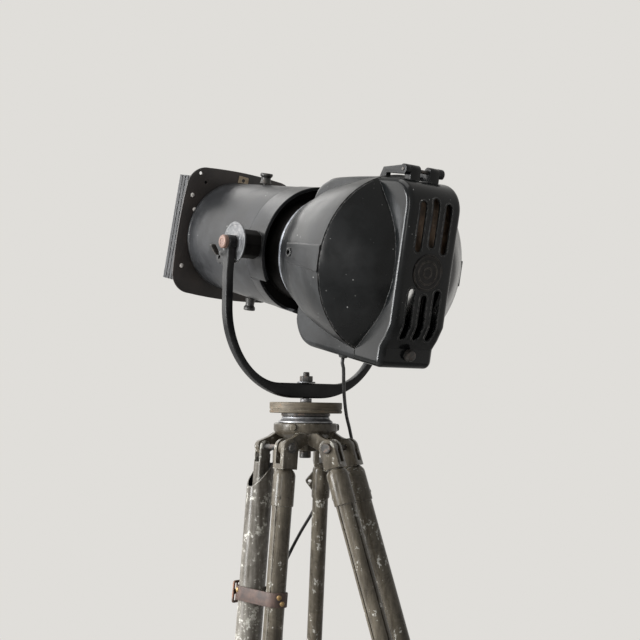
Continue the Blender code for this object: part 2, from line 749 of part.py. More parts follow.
def makeBarrel():
    front = plateBack - seatGap
    lap = bandFront - bandLap
    outer = barrelRadius(bandFront)
    inner = bandInnerRadius() - seatGap
    profile = [(lap, inner - barrelWall), (lap, inner), (bandFront + seatGap, inner), (bandFront + seatGap, outer),
               (front, barrelRadius(front)), (front, barrelRadius(front) - barrelWall),
               (bandFront + 0.006, outer - barrelWall), (bandFront + 0.003, inner - barrelWall)]
    barrel = piece("barrel", turned(profile, "forward", steps=fineSteps), tilt, "black_paint")
    reach = carriageTravel + knobStudRadius + 0.0015
    for side, label in ((1, "top"), (-1, "low")):
        low = carriagePlace - reach
        high = carriagePlace + reach
        ends = arc((0.0, -low), slotHalfWidth, 0.0, 180.0, 6) + arc((0.0, -high), slotHalfWidth, 180.0, 360.0, 6)
        near, far = sorted((side * 0.6 * rimRadius, side * 1.3 * rimRadius))
        slot = prism(ends, near, far, "xy")
        combine(barrel, cutter(f"barrel_slot_{label}", slot, tilt))
    addGuides(barrel)
    bandInner = bandInnerRadius()
    profile = [(rearRim, bandInner), (rearRim, rimRadius + bandStep), (bandFront, barrelRadius(bandFront) + bandStep),
               (bandFront, bandInner)]
    band = piece("gate_band", turned(profile, "forward", steps=fineSteps), tilt, "black_paint")
    cut = box((-notchWidth / 2, -(rearRim + notchDepth), 0.060), (notchWidth / 2, 0.060, 0.120))
    turn = Matrix.Rotation(math.radians(90.0 - notchAngle), 4, "Y")
    addTrunnions(band)
    combine(band, cutter("band_notch", moved(cut, turn), tilt))


def addGuides(barrel):
    # Two rails inside the barrel, one on each side, carry the lens carriage.
    face = carriageRadius + seatGap
    reach = carriageTravel + carriageDepth / 2 + guideOverrun
    start = carriagePlace - reach
    end = carriagePlace + reach
    root = barrelWall / 2
    outline = [(face, -start), (barrelRadius(start) - root, -start), (barrelRadius(end) - root, -end), (face, -end)]
    for side, label in ((1, "near"), (-1, "off")):
        rail = prism([(side * x, y) for x, y in outline], -guideHalfWidth, guideHalfWidth, "xy")
        combine(barrel, cutter(f"lens_guide_{label}", rail, tilt), "UNION")


def makeGate():
    # The gate tube carries a flange that closes the barrel's rear end round it.
    front = bandFront - bandLap - seatGap
    inner = gateTubeRadius - gateTubeWall
    profile = [(gateTubeBack, inner), (gateTubeBack, gateTubeRadius), (front - 0.003, gateTubeRadius),
               (front - 0.003, bandInnerRadius() - seatGap), (front, bandInnerRadius() - seatGap), (front, inner)]
    piece("gate_tube", turned(profile, "forward", steps=fineSteps), tilt, "black_paint")
    ring = pipe(gateTubeRadius + gateRingLip, gateTubeRadius + seatGap, gateRingPlace - gateRingThickness / 2,
                gateRingPlace + gateRingThickness / 2, "forward", steps=fineSteps)
    piece("gate_ring", ring, tilt, "bright_steel")


def plateOutline():
    half = plateSide / 2
    straight = half - plateCorner
    outline = []
    for quarter in range(4):
        turn = math.radians(90.0 * quarter)
        corner = arc((straight, straight), plateCorner, 0.0, 90.0, 6)
        side = corner + [(0.0, half + plateBulge)]
        outline += [(x * math.cos(turn) - y * math.sin(turn), x * math.sin(turn) + y * math.cos(turn)) for x, y in side]
    return outline


def makeFront():
    roll = joint("front_roll", tilt, (0.0, 0.0, 0.0), (0.0, math.radians(plateRoll), 0.0))
    front = plateBack + plateThickness
    plate = piece("front_plate", prism(plateOutline(), -front, -plateBack, "xz"), roll, "plate_black")
    half = plateSide / 2
    before = plateBack - 4 * plateThickness
    beyond = plateBack + 4 * plateThickness
    combine(plate, cutter("plate_hole", rod(plateHole, before, beyond, "forward", steps=fineSteps), roll))
    for aside, below, label in ((cornerHoleAside, cornerHoleBelow, "a"), (lowHoleAside, lowHoleBelow, "b")):
        hole = rod(plateScrewRadius, before, beyond, "forward", (half - aside, 0.0, half - below), smallSteps)
        combine(plate, cutter(f"plate_corner_hole_{label}", hole, roll))
    for x in (-1, 1):
        for z in (-rivetShare, rivetShare):
            centre = (x * (half - rivetInset), 0.0, z * half)
            rivet = turned([(plateBack + 0.0005, 0.0), (plateBack + 0.0005, plateScrewRadius),
                            (plateBack - 0.0008, plateScrewRadius), (plateBack - 0.0018, plateScrewRadius * 0.6),
                            (plateBack - 0.0020, 0.0)], "forward", centre, smallSteps, False)
            combine(plate, cutter(f"plate_rivet_{x}_{z}", rivet, roll), "UNION")
    makeRunner(roll, front + seatGap)


def railOutline(side, start):
    # One folded rail seen from above: slots open inwards, grooves open outwards.
    pitch = (runnerDepth + seatGap) / runnerSlots
    slot = pitch - 4 * runnerWall
    outer = []
    inner = []
    inside = runnerHalfWidth - runnerRailWidth
    for index in range(runnerSlots):
        low = start + index * pitch
        high = low + pitch
        outer += [(runnerHalfWidth, low + (runnerWall if index else 0.0)),
                  (runnerHalfWidth, high - (runnerWall if index < runnerSlots - 1 else 0.0))]
        if index < runnerSlots - 1:
            outer += [(runnerHalfWidth - 0.0035, high - runnerWall), (runnerHalfWidth - 0.0035, high + runnerWall)]
        first = (low + high - slot) / 2
        last = (low + high + slot) / 2
        slotFloor = runnerHalfWidth - runnerWall - 0.0005
        inner += [(inside, low if index == 0 else first - runnerWall), (inside, first),
                  (slotFloor, first), (slotFloor, last), (inside, last)]
    inner.append((inside, start + runnerSlots * pitch))
    outline = outer + list(reversed(inner))
    clean = [outline[0]]
    for point in outline[1:]:
        if (Vector(point) - Vector(clean[-1])).length > 1e-5:
            clean.append(point)
    return [(side * x, -s) for x, s in clean]


def makeRunner(roll, start):
    half = runnerHeight / 2
    inside = runnerHalfWidth - runnerRailWidth
    base = box((-runnerHalfWidth, -start - runnerSheet, -half), (runnerHalfWidth, -start, half))
    runner = piece("colour_runner", base, roll, "plate_black")
    for side in (-1, 1):
        rail = prism(railOutline(side, start + 0.0004), -half + 0.0002, half - 0.0002, "xy")
        combine(runner, cutter(f"runner_rail_{side}", rail, roll), "UNION")
    wide = inside + 0.002
    ledge = box((-wide, -start - runnerDepth, -half + 0.0004), (wide, -start - 0.0004, -half + 0.002))
    combine(runner, cutter("runner_ledge", ledge, roll), "UNION")
    hole = rod(plateHole - 0.002, start - 2 * runnerSheet, start + 2 * runnerSheet, "forward", steps=fineSteps)
    combine(runner, cutter("runner_hole", hole, roll))


def makeLens():
    carriage = joint("carriage_axis", tilt, (0.0, 0.0, 0.0))
    back = carriagePlace - carriageDepth / 2
    front = carriagePlace + carriageDepth / 2
    seat = back + 0.004
    bore = lensRadius + seatGap
    profile = [(back, lensLip), (back, carriageRadius), (front, carriageRadius), (front, bore), (seat, bore),
               (seat, lensLip)]
    ring = piece("lens_carriage", turned(profile, "forward", steps=fineSteps), carriage, "black_paint")
    for side in (-1, 1):
        deep, high = sorted((side * (carriageRadius - 0.0065), side * (carriageRadius + 0.0055)))
        hole = rod(knobStudRadius + seatGap, deep, high, "up", (0.0, -carriagePlace, 0.0), smallSteps)
        combine(ring, cutter(f"carriage_hole_{side}", hole, carriage))
    face = seat + seatGap
    bulge = (lensLip ** 2 + lensSag ** 2) / (2 * lensSag)
    profile = [(face, 0.0), (face, lensRadius), (face + lensEdge, lensRadius), (face + lensEdge, lensLip)]
    for step in range(1, 5):
        radius = lensLip * (1 - step / 4)
        profile.append((face + lensEdge + math.sqrt(bulge ** 2 - radius ** 2) - bulge + lensSag, radius))
    piece("lens", turned(profile, "forward", steps=fineSteps, closed=False), carriage, "glass")
    low = face + lensEdge + seatGap
    holder = pipe(bore - 2 * seatGap, lensLip + 0.0015, low, low + 0.003, "forward", steps=fineSteps)
    piece("lens_ring", holder, carriage, "bright_steel")
    makeKnobs(carriage)


def makeKnobs(carriage):
    sizes = ((1, "top", topKnobRadius, topKnobHeight), (-1, "low", lowKnobRadius, lowKnobHeight))
    for side, label, radius, height in sizes:
        frame = joint(f"knob_{label}_axis", carriage, (0.0, -carriagePlace, 0.0))
        tip = carriageRadius - 0.0055
        base = knobBase - 0.003
        profile = [(tip, 0.0), (tip, knobStudRadius), (base, knobStudRadius), (base, radius * 0.72),
                   (base + height * 0.55, radius * 0.62), (base + height * 0.75, radius), (base + height - 0.001, radius),
                   (base + height, radius - 0.001), (base + height, 0.0)]
        shape = turned([(side * along, across) for along, across in profile], "up", steps=tubeSteps, closed=False)
        piece(f"carriage_knob_{label}", shape, frame, "dark_steel")


def frontSpine():
    return [(-0.053, -0.096), (-0.057, 0.077), (-0.068, 0.095), (-0.088, 0.106), (-0.104, 0.110), (-0.150, 0.114),
            (splitPlace, spineTop), (splitPlace - splitOverrun, spineTop), (splitPlace - splitOverrun, spineBottom),
            (-0.081, spineBottom + 0.001), (-0.064, -0.115)]


def rearSpine():
    start = splitPlace + splitOverrun
    back = spineBack
    top = arc((back + 0.037, spineTop - 0.037), 0.037, 90.0, 180.0, 6)
    foot = arc((-0.250, spineBottom + 0.011), 0.011, 180.0, 270.0, 4)
    return [(start, spineTop)] + top + [(back, -0.071), (-0.269, -0.090), (-0.261, -0.103)] + foot + [(start, spineBottom)]


def houseSpine(outline, grow=0.0, half=spineHalfWidth):
    points = outline
    if grow:
        points = inset(outline, grow)
    return prism([(-s, u) for s, u in points], -half, half, "yz")


def bowlSolid(profile, ends, steps=fineSteps):
    points = [(ends[0], 0.0)] + profile + [(ends[1], 0.0)]
    return turned(points, "forward", steps=steps, closed=False)


def offsetBowl(profile, wall):
    moved = []
    for index, point in enumerate(profile):
        before = Vector(profile[max(index - 1, 0)])
        after = Vector(profile[min(index + 1, len(profile) - 1)])
        along = (after - before).normalized()
        inward = Vector((-along.y, along.x))
        if inward.y > 0:
            inward = -inward
        moved.append(tuple(Vector(point) + inward * wall))
    return moved


def insideRadius(profile, forward):
    # The radius of a bowl's inner face at a place along it.
    inner = offsetBowl(profile, houseWall)
    for first, last in zip(inner, inner[1:]):
        if last[0] <= forward <= first[0]:
            share = (forward - first[0]) / (last[0] - first[0])
            return first[1] + share * (last[1] - first[1])
    return inner[-1][1]


def makeFrontHouse():
    past = splitPlace - splitOverrun
    whole = frontBowl + [(past, frontBowl[-1][1])]
    house = piece("lamphouse_front", bowlSolid(whole, (neckFace, past)), tilt, "black_paint")
    spine = cutter("front_spine", houseSpine(frontSpine()), tilt)
    soften(spine, spineEdge, 2)
    combine(house, spine, "UNION")
    for side in (-1, 1):
        combine(house, cutter(f"side_pad_{side}", sidePad(side), tilt), "UNION")
    behind = box((-0.200, -splitPlace, -0.200), (0.200, -splitPlace + 0.100, 0.200))
    combine(house, cutter("front_split", behind, tilt))
    for side in (-1, 1):
        combine(house, cutter(f"hinge_ear_{side}", hingeEar(side), tilt), "UNION")
    inner = offsetBowl(frontBowl[1:], houseWall)
    inner = [(neckFace - houseWall, inner[0][1] - 0.0005)] + inner[1:-1] + [(splitPlace - 0.002, inner[-1][1] + 0.0002)]
    combine(house, cutter("front_bowl_inside", bowlSolid(inner, (inner[0][0], inner[-1][0])), tilt))
    chimney = [(-0.086, -0.110), (-0.086, 0.098), (-0.104, 0.105), (-0.150, 0.1095), (-0.206, spineTop - houseWall),
               (-0.206, spineBottom + houseWall), (-0.098, spineBottom + houseWall)]
    combine(house, cutter("front_spine_inside", prism([(-s, u) for s, u in chimney], -spineHalfWidth + houseWall,
                                                      spineHalfWidth - houseWall, "yz"), tilt))
    combine(house, cutter("neck_bore", rod(gateTubeRadius + seatGap, -0.070, -0.040, "forward", steps=fineSteps), tilt))
    for side in (-1, 1):
        hole = rod(padHoleRadius, 0.085, 0.130, "across", (0.0, -padHolePlace, 0.0), smallSteps)
        if side < 0:
            hole = rod(padHoleRadius, -0.130, -0.085, "across", (0.0, -padHolePlace, 0.0), smallSteps)
        combine(house, cutter(f"pad_hole_{side}", hole, tilt))
    pinBore = rod(hingePinRadius + seatGap, -0.050, 0.050, "across", (0.0, -hingePlace, hingeHeight), smallSteps)
    combine(house, cutter("ear_bore", pinBore, tilt))
    gland = rod(glandRadius + seatGap, -0.150, -0.110, "up", (glandAside, -glandPlace, 0.0), tubeSteps)
    combine(house, cutter("gland_bore", gland, tilt))


def sidePad(side):
    shape = bmesh.new()
    low = padRoot
    rings = []
    ends = ((padStart, padHalfLow, padNeck), (splitPlace - splitOverrun, padHalfHigh, frontBowl[-1][1] + padProud))
    for forward, half, proud in ends:
        rings.append([shape.verts.new((side * x, -forward, z)) for x, z in
                      ((low, -half), (proud, -half), (proud, half), (low, half))])
    for index in range(4):
        following = (index + 1) % 4
        shape.faces.new((rings[0][index], rings[0][following], rings[1][following], rings[1][index]))
    shape.faces.new(rings[0])
    shape.faces.new(rings[1])
    return shape


def knuckleTop():
    return hingeHeight + knuckleRadius


def hingeEar(side):
    under = max(spineTop, rearBowl[0][1]) + runGap
    outline = arc((-hingePlace, hingeHeight), knuckleRadius, -60.0, 130.0, 8)
    outline += [(-splitPlace - 0.008, knuckleTop() - 0.006), (-splitPlace - 0.015, spineTop - 0.002),
                (-splitPlace - seatGap, spineTop - 0.002),
                (-splitPlace - seatGap, under), (-hingePlace - 0.004, under)]
    low, high = sorted((side * earInner, side * earOuter))
    return prism(outline, low, high, "yz")


def hingeKnuckle(side):
    outline = arc((-hingePlace, hingeHeight), knuckleRadius, -20.0, 200.0, 8)
    outline += [(-hingePlace - knuckleRadius + 0.001, spineTop - 0.002), (-hingePlace + knuckleRadius, spineTop - 0.002)]
    low, high = sorted((side * knuckleInner, side * (earInner - runGap)))
    return prism(outline, low, high, "yz")


def stadium(aside, low, high):
    half = slotWidth / 2
    return arc((aside, high - half), half, 0.0, 180.0, 8) + arc((aside, low + half), half, 180.0, 360.0, 8)


def makeRearHouse():
    place = (0.0, -hingePlace, hingeHeight)
    door = joint("door_axis", tilt, place)
    shift = Matrix.Translation((0.0, hingePlace, -hingeHeight))
    start = splitPlace - splitGap
    profile = [(start, rearBowl[0][1])] + rearBowl[1:]
    before = start + splitOverrun
    whole = bowlSolid([(before, rearBowl[0][1])] + profile, (before, profile[-1][0] - 0.001))
    house = piece("lamphouse_rear", moved(whole, shift), door, "black_paint")
    spine = cutter("rear_spine", moved(houseSpine(rearSpine()), shift), door)
    soften(spine, spineEdge, 2)
    combine(house, spine, "UNION")
    ahead = box((-0.200, -start - 0.100, -0.200), (0.200, -start, 0.200))
    combine(house, cutter("rear_split", moved(ahead, shift), door))
    for side in (-1, 1):
        combine(house, cutter(f"hinge_knuckle_{side}", moved(hingeKnuckle(side), shift), door), "UNION")
    inner = offsetBowl(profile, houseWall)
    inner = [(start + 0.002, inner[0][1])] + inner[1:]
    hollow = bowlSolid(inner, (inner[0][0], inner[-1][0] - 0.0005))
    combine(house, cutter("rear_bowl_inside", moved(hollow, shift), door))
    chimney = [(start + 0.004, spineTop - houseWall)]
    chimney += arc((spineBack + 0.037, spineTop - 0.037), 0.037 - houseWall, 90.0, 180.0, 6)
    chimney += [(spineBack + houseWall, -0.069), (-0.265, -0.088), (-0.257, -0.102)]
    chimney += arc((-0.250, spineBottom + 0.011), 0.011 - houseWall, 180.0, 270.0, 3)
    chimney += [(start + 0.004, spineBottom + houseWall)]
    narrow = spineHalfWidth - houseWall
    chimneyShape = prism([(-s, u) for s, u in chimney], -narrow, narrow, "yz")
    combine(house, cutter("rear_spine_inside", moved(chimneyShape, shift), door))
    for row, flip in (("upper", 1), ("lower", -1)):
        for column in (-1, 0, 1):
            near, far = (midSlotNear, midSlotFar) if column == 0 else (sideSlotNear, sideSlotFar)
            if flip < 0:
                near -= lowSlotShift
                far = lowSlotFar
            low, high = sorted((flip * near, flip * far))
            vent = prism(stadium(column * slotPitch, low, high), -spineBack - 0.015, -spineBack + 0.023, "xz")
            combine(house, cutter(f"vent_{row}_{column}", moved(vent, shift), door))
    pinBore = rod(hingePinRadius + seatGap, -0.050, 0.050, "across", (0.0, 0.0, 0.0), smallSteps)
    combine(house, cutter("knuckle_bore", pinBore, door))
    spot = (0.0, 0.0, latchHeight - hingeHeight)
    latchBore = rod(latchStudRadius + seatGap, spineBack - 0.023, spineBack + 0.037, "forward", spot, smallSteps)
    combine(house, cutter("latch_bore", moved(latchBore, Matrix.Translation((0.0, hingePlace, 0.0))), door))
    makeDoorPieces(door, shift)


def makeDoorPieces(door, shift):
    inside = offsetBowl(mirrorPath, mirrorThickness)
    face = mirrorPath[0][0]
    back = face - mirrorThickness
    flange = insideRadius(rearBowl, back) - seatGap
    profile = [(face, flange), (back, flange), (back, mirrorPath[0][1])] + mirrorPath[1:]
    profile += list(reversed(inside[1:])) + [(face, mirrorPath[0][1] - mirrorThickness)]
    piece("mirror", moved(turned(profile, "forward", steps=fineSteps), shift), door, "mirror")
    low = -spineBack - houseWall - 0.0035
    slope = [(low, baffleLow), (low + baffleSheet, baffleLow), (low + baffleSheet - baffleLean, baffleHigh),
             (low - baffleLean, baffleHigh)]
    half = spineHalfWidth - houseWall - seatGap
    piece("light_baffle", moved(prism(slope, -half, half, "yz"), shift), door, "black_paint")
    face = spineBack - seatGap
    rim = face - badgeThickness
    floor = face - badgeThickness * 0.5
    profile = [(face, 0.0), (face, badgeRadius), (rim, badgeRadius), (rim, badgeRadius - 0.002),
               (floor, badgeRadius - 0.0025), (floor, 0.0)]
    badge = turned(profile, "forward", steps=midSteps + 4, closed=False)
    piece("badge_plate", moved(badge, shift), door, "black_paint")
    latch = joint("latch_axis", door, (0.0, hingePlace, latchHeight - hingeHeight))
    wall = -0.261 - seatGap
    profile = [(wall + 0.012, 0.0), (wall + 0.012, latchStudRadius), (wall, latchStudRadius), (wall, latchKnobRadius),
               (wall - latchKnobLength + 0.001, latchKnobRadius * 0.9),
               (wall - latchKnobLength, latchKnobRadius * 0.75), (wall - latchKnobLength, 0.0)]
    piece("latch_knob", turned(profile, "forward", steps=tubeSteps, closed=False), latch, "dark_steel")


def makeLampInside():
    reach = earOuter + 0.001
    pin = rod(hingePinRadius, -reach, reach, "across", (0.0, -hingePlace, hingeHeight), smallSteps)
    piece("hinge_pin", pin, tilt, "dark_steel")
    floor = spineBottom + houseWall + seatGap
    ceiling = holderTop - holderHeight - seatGap
    tray = box((-trayHalf, -bulbPlace - trayHalf, floor), (trayHalf, -bulbPlace + trayHalf - 0.002, ceiling))
    piece("lamp_tray", tray, tilt, "dark_steel")
    holder = turned([(holderTop - holderHeight, 0.0), (holderTop - holderHeight, holderRadius), (holderTop, holderRadius),
                     (holderTop, 0.0145), (holderTop - 0.012, 0.0145), (holderTop - 0.012, 0.0)],
                    "up", (0.0, -bulbPlace, 0.0), tubeSteps, False)
    piece("lampholder", holder, tilt, "ceramic")
    foot = holderTop - 0.012 + seatGap
    profile = [(foot, 0.0), (foot, 0.0138), (holderTop + 0.004, 0.0138), (holderTop + 0.008, bulbRadius),
               (bulbTop - 0.010, bulbRadius), (bulbTop - 0.003, bulbRadius * 0.7), (bulbTop, 0.0)]
    piece("bulb", turned(profile, "up", (0.0, -bulbPlace, 0.0), tubeSteps, False), tilt, "glass")
    wall = spineBottom + 0.0006
    top = wall - glandReach + glandLength
    profile = [(top, cordBore), (top, glandRadius - 0.001), (wall + 0.0045, glandRadius), (wall, glandRadius),
               (wall - glandReach, glandTip), (wall - glandReach, cordBore)]
    piece("cable_gland", turned(profile, "up", (glandAside, -glandPlace, 0.0), tubeSteps), tilt, "cord_rubber")


# The lead's own route, from the gland's mouth to the coil, in metres from the head's axis at the floor.
leadRoute = [(0.0062, 0.1, 1.148), (-0.0044, 0.0867, 1.126), (-0.0212, 0.0667, 1.104),
             (-0.0419, 0.0446, 1.08), (-0.0624, 0.0261, 1.058), (-0.0794, 0.0075, 1.035),
             (-0.0794, -0.0183, 1.012), (-0.0799, -0.0413, 0.995), (-0.0787, -0.0655, 0.965),
             (-0.0730, -0.0810, 0.932), (-0.0578, -0.0914, 0.9), (-0.0370, -0.0880, 0.872),
             (-0.0205, -0.0900, 0.84), (-0.0115, -0.0960, 0.805), (-0.0067, -0.1025, 0.774),
             (-0.0035, -0.1081, 0.735), (0.0, -0.112, 0.62), (0.0, -0.125, 0.46), (-0.002, -0.143, 0.30),
             (-0.002, -0.163, 0.16), (0.002, -0.179, 0.075), (0.020, -0.188, 0.022)]
coilCentre = (0.1000, -0.1700)


def smoothLine(points, spacing):
    line = []
    vectors = [Vector(point) for point in points]
    for index in range(len(vectors) - 1):
        before = vectors[max(index - 1, 0)]
        after = vectors[min(index + 2, len(vectors) - 1)]
        first = vectors[index]
        last = vectors[index + 1]
        leave = first + (last - before) / 6
        reach = last - (after - first) / 6
        count = max(2, round((last - first).length / spacing))
        line += interpolate_bezier(first, leave, reach, last, count + 1)[:-1]
    return line + [vectors[-1]]


def cordTube(name, points, resolution, finish, parent):
    curve = bpy.data.curves.new(name, "CURVE")
    curve.dimensions = "3D"
    curve.bevel_depth = cordRadius
    curve.bevel_resolution = resolution
    curve.use_fill_caps = True
    line = curve.splines.new("POLY")
    line.points.add(len(points) - 1)
    for spot, point in zip(line.points, points):
        spot.co = (*point, 1.0)
    line.use_smooth = True
    tube = bpy.data.objects.new(name, curve)
    bpy.context.collection.objects.link(tube)
    tube.parent = parent
    curve.materials.append(paint(finish))
    return tube


def coilLine():
    # The turns spiral in on the floor, climb one layer in half a turn, and spiral out again on top.
    middle = Vector((coilCentre[0], coilCentre[1], 0.0))
    low = cordRadius + 0.0008
    turnsEach = coilTurns
    points = []
    total = int((2 * turnsEach + 0.5) * coilLoopPoints)
    widest = coilMiddle + coilPitch * turnsEach / 2
    for step in range(total + 1):
        turns = step / coilLoopPoints
        if turns <= turnsEach:
            radius = widest - coilPitch * turns
            rise = 0.0
        elif turns <= turnsEach + 0.5:
            radius = widest - coilPitch * turnsEach
            share = (turns - turnsEach) / 0.5
            rise = coilRise * (1 - math.cos(math.pi * share)) / 2
        else:
            radius = widest - coilPitch * (2 * turnsEach + 0.5 - turns)
            rise = coilRise
        angle = math.radians(coilStart) + 2 * math.pi * turns
        points.append(middle + Vector((radius * math.cos(angle), radius * math.sin(angle), low + rise)))
    return points


def leastSelfGap(points):
    least = 1.0
    for index, first in enumerate(points):
        for other in points[index + coilLoopPoints // 2:]:
            least = min(least, (first - other).length)
    return least - 2 * cordRadius


def lineLength(points):
    return sum((after - before).length for before, after in zip(points, points[1:]))


def makeCord():
    bpy.context.view_layer.update()
    mouth = spineBottom + 0.0006 - glandReach
    start = lampPoint(glandAside, glandPlace, mouth - seatGap)
    below = lampPoint(glandAside, glandPlace, mouth - 0.008)
    coil = coilLine()
    entry = coil[0]
    heading = (coil[0] - coil[1]).normalized()
    lead = smoothLine([tuple(start), tuple(below)] + leadRoute + [tuple(entry + heading * 0.020),
                      tuple(entry + heading * 0.006)], 0.030)
    lead.append(entry + heading * (0.005 + seatGap))
    cordTube("lead", lead, 2, "cord_rubber", stand)
    leave = (coil[-1] - coil[-2]).normalized()
    tail = coil[-1] + leave * 0.045
    tail.z = plugRadius + seatGap
    lift = coil[-1] + leave * 0.016 + Vector((0, 0, 0.003))
    rise = smoothLine([coil[-2], coil[-1], lift, tail - leave * 0.012, tail - leave * 0.005, tail], 0.007)
    coilPoints = [entry + heading * 0.005] + coil[:-1] + rise[2:]
    cordTube("lead_coil", coilPoints, 1, "cord_rubber", stand)
    print("coil least gap to itself, mm:", round(leastSelfGap(coilLine()) * 1000, 3))
    print("lead length, m:", round(lineLength(lead) + lineLength(coilPoints), 3))
    makePlug(tail, leave)


def makePlug(tail, leave):
    profile = [(seatGap, 0.0), (seatGap, 0.006), (0.012, 0.0075), (0.016, plugRadius * 0.8),
               (plugLength - 0.004, plugRadius), (plugLength, plugRadius - 0.002), (plugLength, 0.0)]
    shape = turned(profile, "up", steps=tubeSteps, closed=False)
    level = Vector((0, 0, 1)).rotation_difference(Vector((leave.x, leave.y, 0.0)))
    turn = Matrix.Translation(tail) @ level.to_matrix().to_4x4()
    plug = piece("mains_plug", moved(shape, turn), stand, "cord_rubber")
    for index in range(3):
        angle = math.radians(120.0 * index + 90.0)
        spot = (plugPinPitch * math.cos(angle), plugPinPitch * math.sin(angle), 0.0)
        pin = rod(plugPinRadius, plugLength - 0.001, plugLength + plugPinReach, "up", spot, 10)
        combine(plug, cutter(f"plug_pin_{index}", moved(pin, turn), stand), "UNION")


cordNodes = ("lead", "lead_coil", "mains_plug")


def centreFootprint():
    # Puts the middle of the object's box, without its lead, over the origin.
    bpy.context.view_layer.update()
    graph = bpy.context.evaluated_depsgraph_get()
    corners = []
    for thing in bpy.data.objects:
        if thing.type == "MESH" and not thing.hide_render and thing.name not in cordNodes:
            shown = thing.evaluated_get(graph)
            mesh = shown.to_mesh()
            corners += [shown.matrix_world @ vertex.co for vertex in mesh.vertices]
            shown.to_mesh_clear()
    for axis in (0, 1):
        values = [corner[axis] for corner in corners]
        stand.location[axis] = -(min(values) + max(values)) / 2
    bpy.context.view_layer.update()
    print("head axis at", tuple(round(value, 6) for value in stand.location))


bpy.context.view_layer.update()
makeHead()
makeLegPins()
for legName in legAzimuths:
    makeLeg(legName)
makeStrap()
makeYoke()
makeLock()
makePivots()
makeBarrel()
makeGate()
makeFront()
makeLens()
makeFrontHouse()
makeRearHouse()
makeLampInside()
makeCord()
centreFootprint()
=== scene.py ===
# A small stage profile spot on an olive tripod: its finishes, fine shapes and lead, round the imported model.
import json
import math
import bpy
import bmesh
from mathutils import Matrix, Vector
from mathutils.geometry import interpolate_bezier


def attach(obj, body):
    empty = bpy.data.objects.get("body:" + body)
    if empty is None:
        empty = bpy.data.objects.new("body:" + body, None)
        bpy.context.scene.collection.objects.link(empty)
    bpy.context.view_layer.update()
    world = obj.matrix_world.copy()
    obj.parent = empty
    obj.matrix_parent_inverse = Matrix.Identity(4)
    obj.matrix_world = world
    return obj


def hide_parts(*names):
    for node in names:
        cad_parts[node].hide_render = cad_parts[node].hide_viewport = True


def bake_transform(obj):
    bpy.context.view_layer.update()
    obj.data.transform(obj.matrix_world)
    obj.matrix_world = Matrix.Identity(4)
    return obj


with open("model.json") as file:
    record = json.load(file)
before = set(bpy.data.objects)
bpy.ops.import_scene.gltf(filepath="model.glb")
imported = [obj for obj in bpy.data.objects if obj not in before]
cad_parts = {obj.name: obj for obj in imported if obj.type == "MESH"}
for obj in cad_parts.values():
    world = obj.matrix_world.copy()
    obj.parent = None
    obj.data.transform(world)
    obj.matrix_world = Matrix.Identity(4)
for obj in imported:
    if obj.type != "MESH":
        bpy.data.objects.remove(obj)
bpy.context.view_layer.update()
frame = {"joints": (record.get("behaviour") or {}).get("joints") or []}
print("frame loaded")

joints = {entry["name"]: entry for entry in frame["joints"]}
headAxis = Vector(joints["yoke_pan"]["pos_m"])          # middle of the head disc's top
pivot = Vector(joints["lamp_tilt"]["pos_m"])            # middle of the tilt axis
tiltAngle = math.radians(11.9)                          # front of the lamp up
lampTurn = Matrix.Translation(pivot) @ Matrix.Rotation(-tiltAngle, 4, "X")
headTurn = Matrix.Translation(headAxis)
yokeTurn = headTurn

# Camera and stage
view = {"distance": 1.6991, "azimuth": 145.157, "height": -0.0068, "yaw": -0.642, "pitch": 4.335, "roll": 0.812,
        "focal": 1149.9, "frameSize": 640}


def makeCamera():
    azimuth = math.radians(view["azimuth"])
    yaw = azimuth + math.radians(view["yaw"])
    pitch = math.radians(view["pitch"])
    roll = math.radians(view["roll"])
    place = headAxis + Vector((math.sin(azimuth) * view["distance"], -math.cos(azimuth) * view["distance"], view["height"]))
    forward = Vector((-math.sin(yaw), math.cos(yaw), 0.0))
    right = Vector((math.cos(yaw), math.sin(yaw), 0.0))
    up = Vector((0.0, 0.0, 1.0))
    forward, up = forward * math.cos(pitch) + up * math.sin(pitch), up * math.cos(pitch) - forward * math.sin(pitch)
    right, up = right * math.cos(roll) + up * math.sin(roll), up * math.cos(roll) - right * math.sin(roll)
    camera = bpy.data.objects.new("camera", bpy.data.cameras.new("camera"))
    bpy.context.scene.collection.objects.link(camera)
    camera.matrix_world = Matrix.Translation(place) @ Matrix((right, up, -forward)).transposed().to_4x4()
    camera.data.sensor_fit = "HORIZONTAL"
    camera.data.sensor_width = 36.0
    camera.data.lens = view["focal"] / view["frameSize"] * 36.0
    bpy.context.scene.camera = camera


makeCamera()


# Mesh helpers
axisTurns = {"up": Matrix.Identity(4), "forward": Matrix.Rotation(math.pi / 2, 4, "X"),
             "across": Matrix.Rotation(math.pi / 2, 4, "Y")}
planeTurns = {"xy": Matrix.Identity(4),
              "xz": Matrix(((1, 0, 0, 0), (0, 0, 1, 0), (0, 1, 0, 0), (0, 0, 0, 1))),
              "yz": Matrix(((0, 0, 1, 0), (1, 0, 0, 0), (0, 1, 0, 0), (0, 0, 0, 1)))}
fine = 144
medium = 64
small = 32


def turned(profile, axis="up", centre=(0.0, 0.0, 0.0), steps=medium, closed=True):
    # profile lists (height along the axis, radius)
    shape = bmesh.new()
    corners = [shape.verts.new((radius, 0.0, height)) for height, radius in profile]
    sides = [shape.edges.new(pair) for pair in zip(corners, corners[1:])]
    if closed:
        sides.append(shape.edges.new((corners[-1], corners[0])))
    bmesh.ops.spin(shape, geom=corners + sides, cent=(0, 0, 0), axis=(0, 0, 1), angle=2 * math.pi, steps=steps,
                   use_merge=True)
    bmesh.ops.remove_doubles(shape, verts=shape.verts, dist=1e-7)
    shape.transform(Matrix.Translation(centre) @ axisTurns[axis])
    return shape


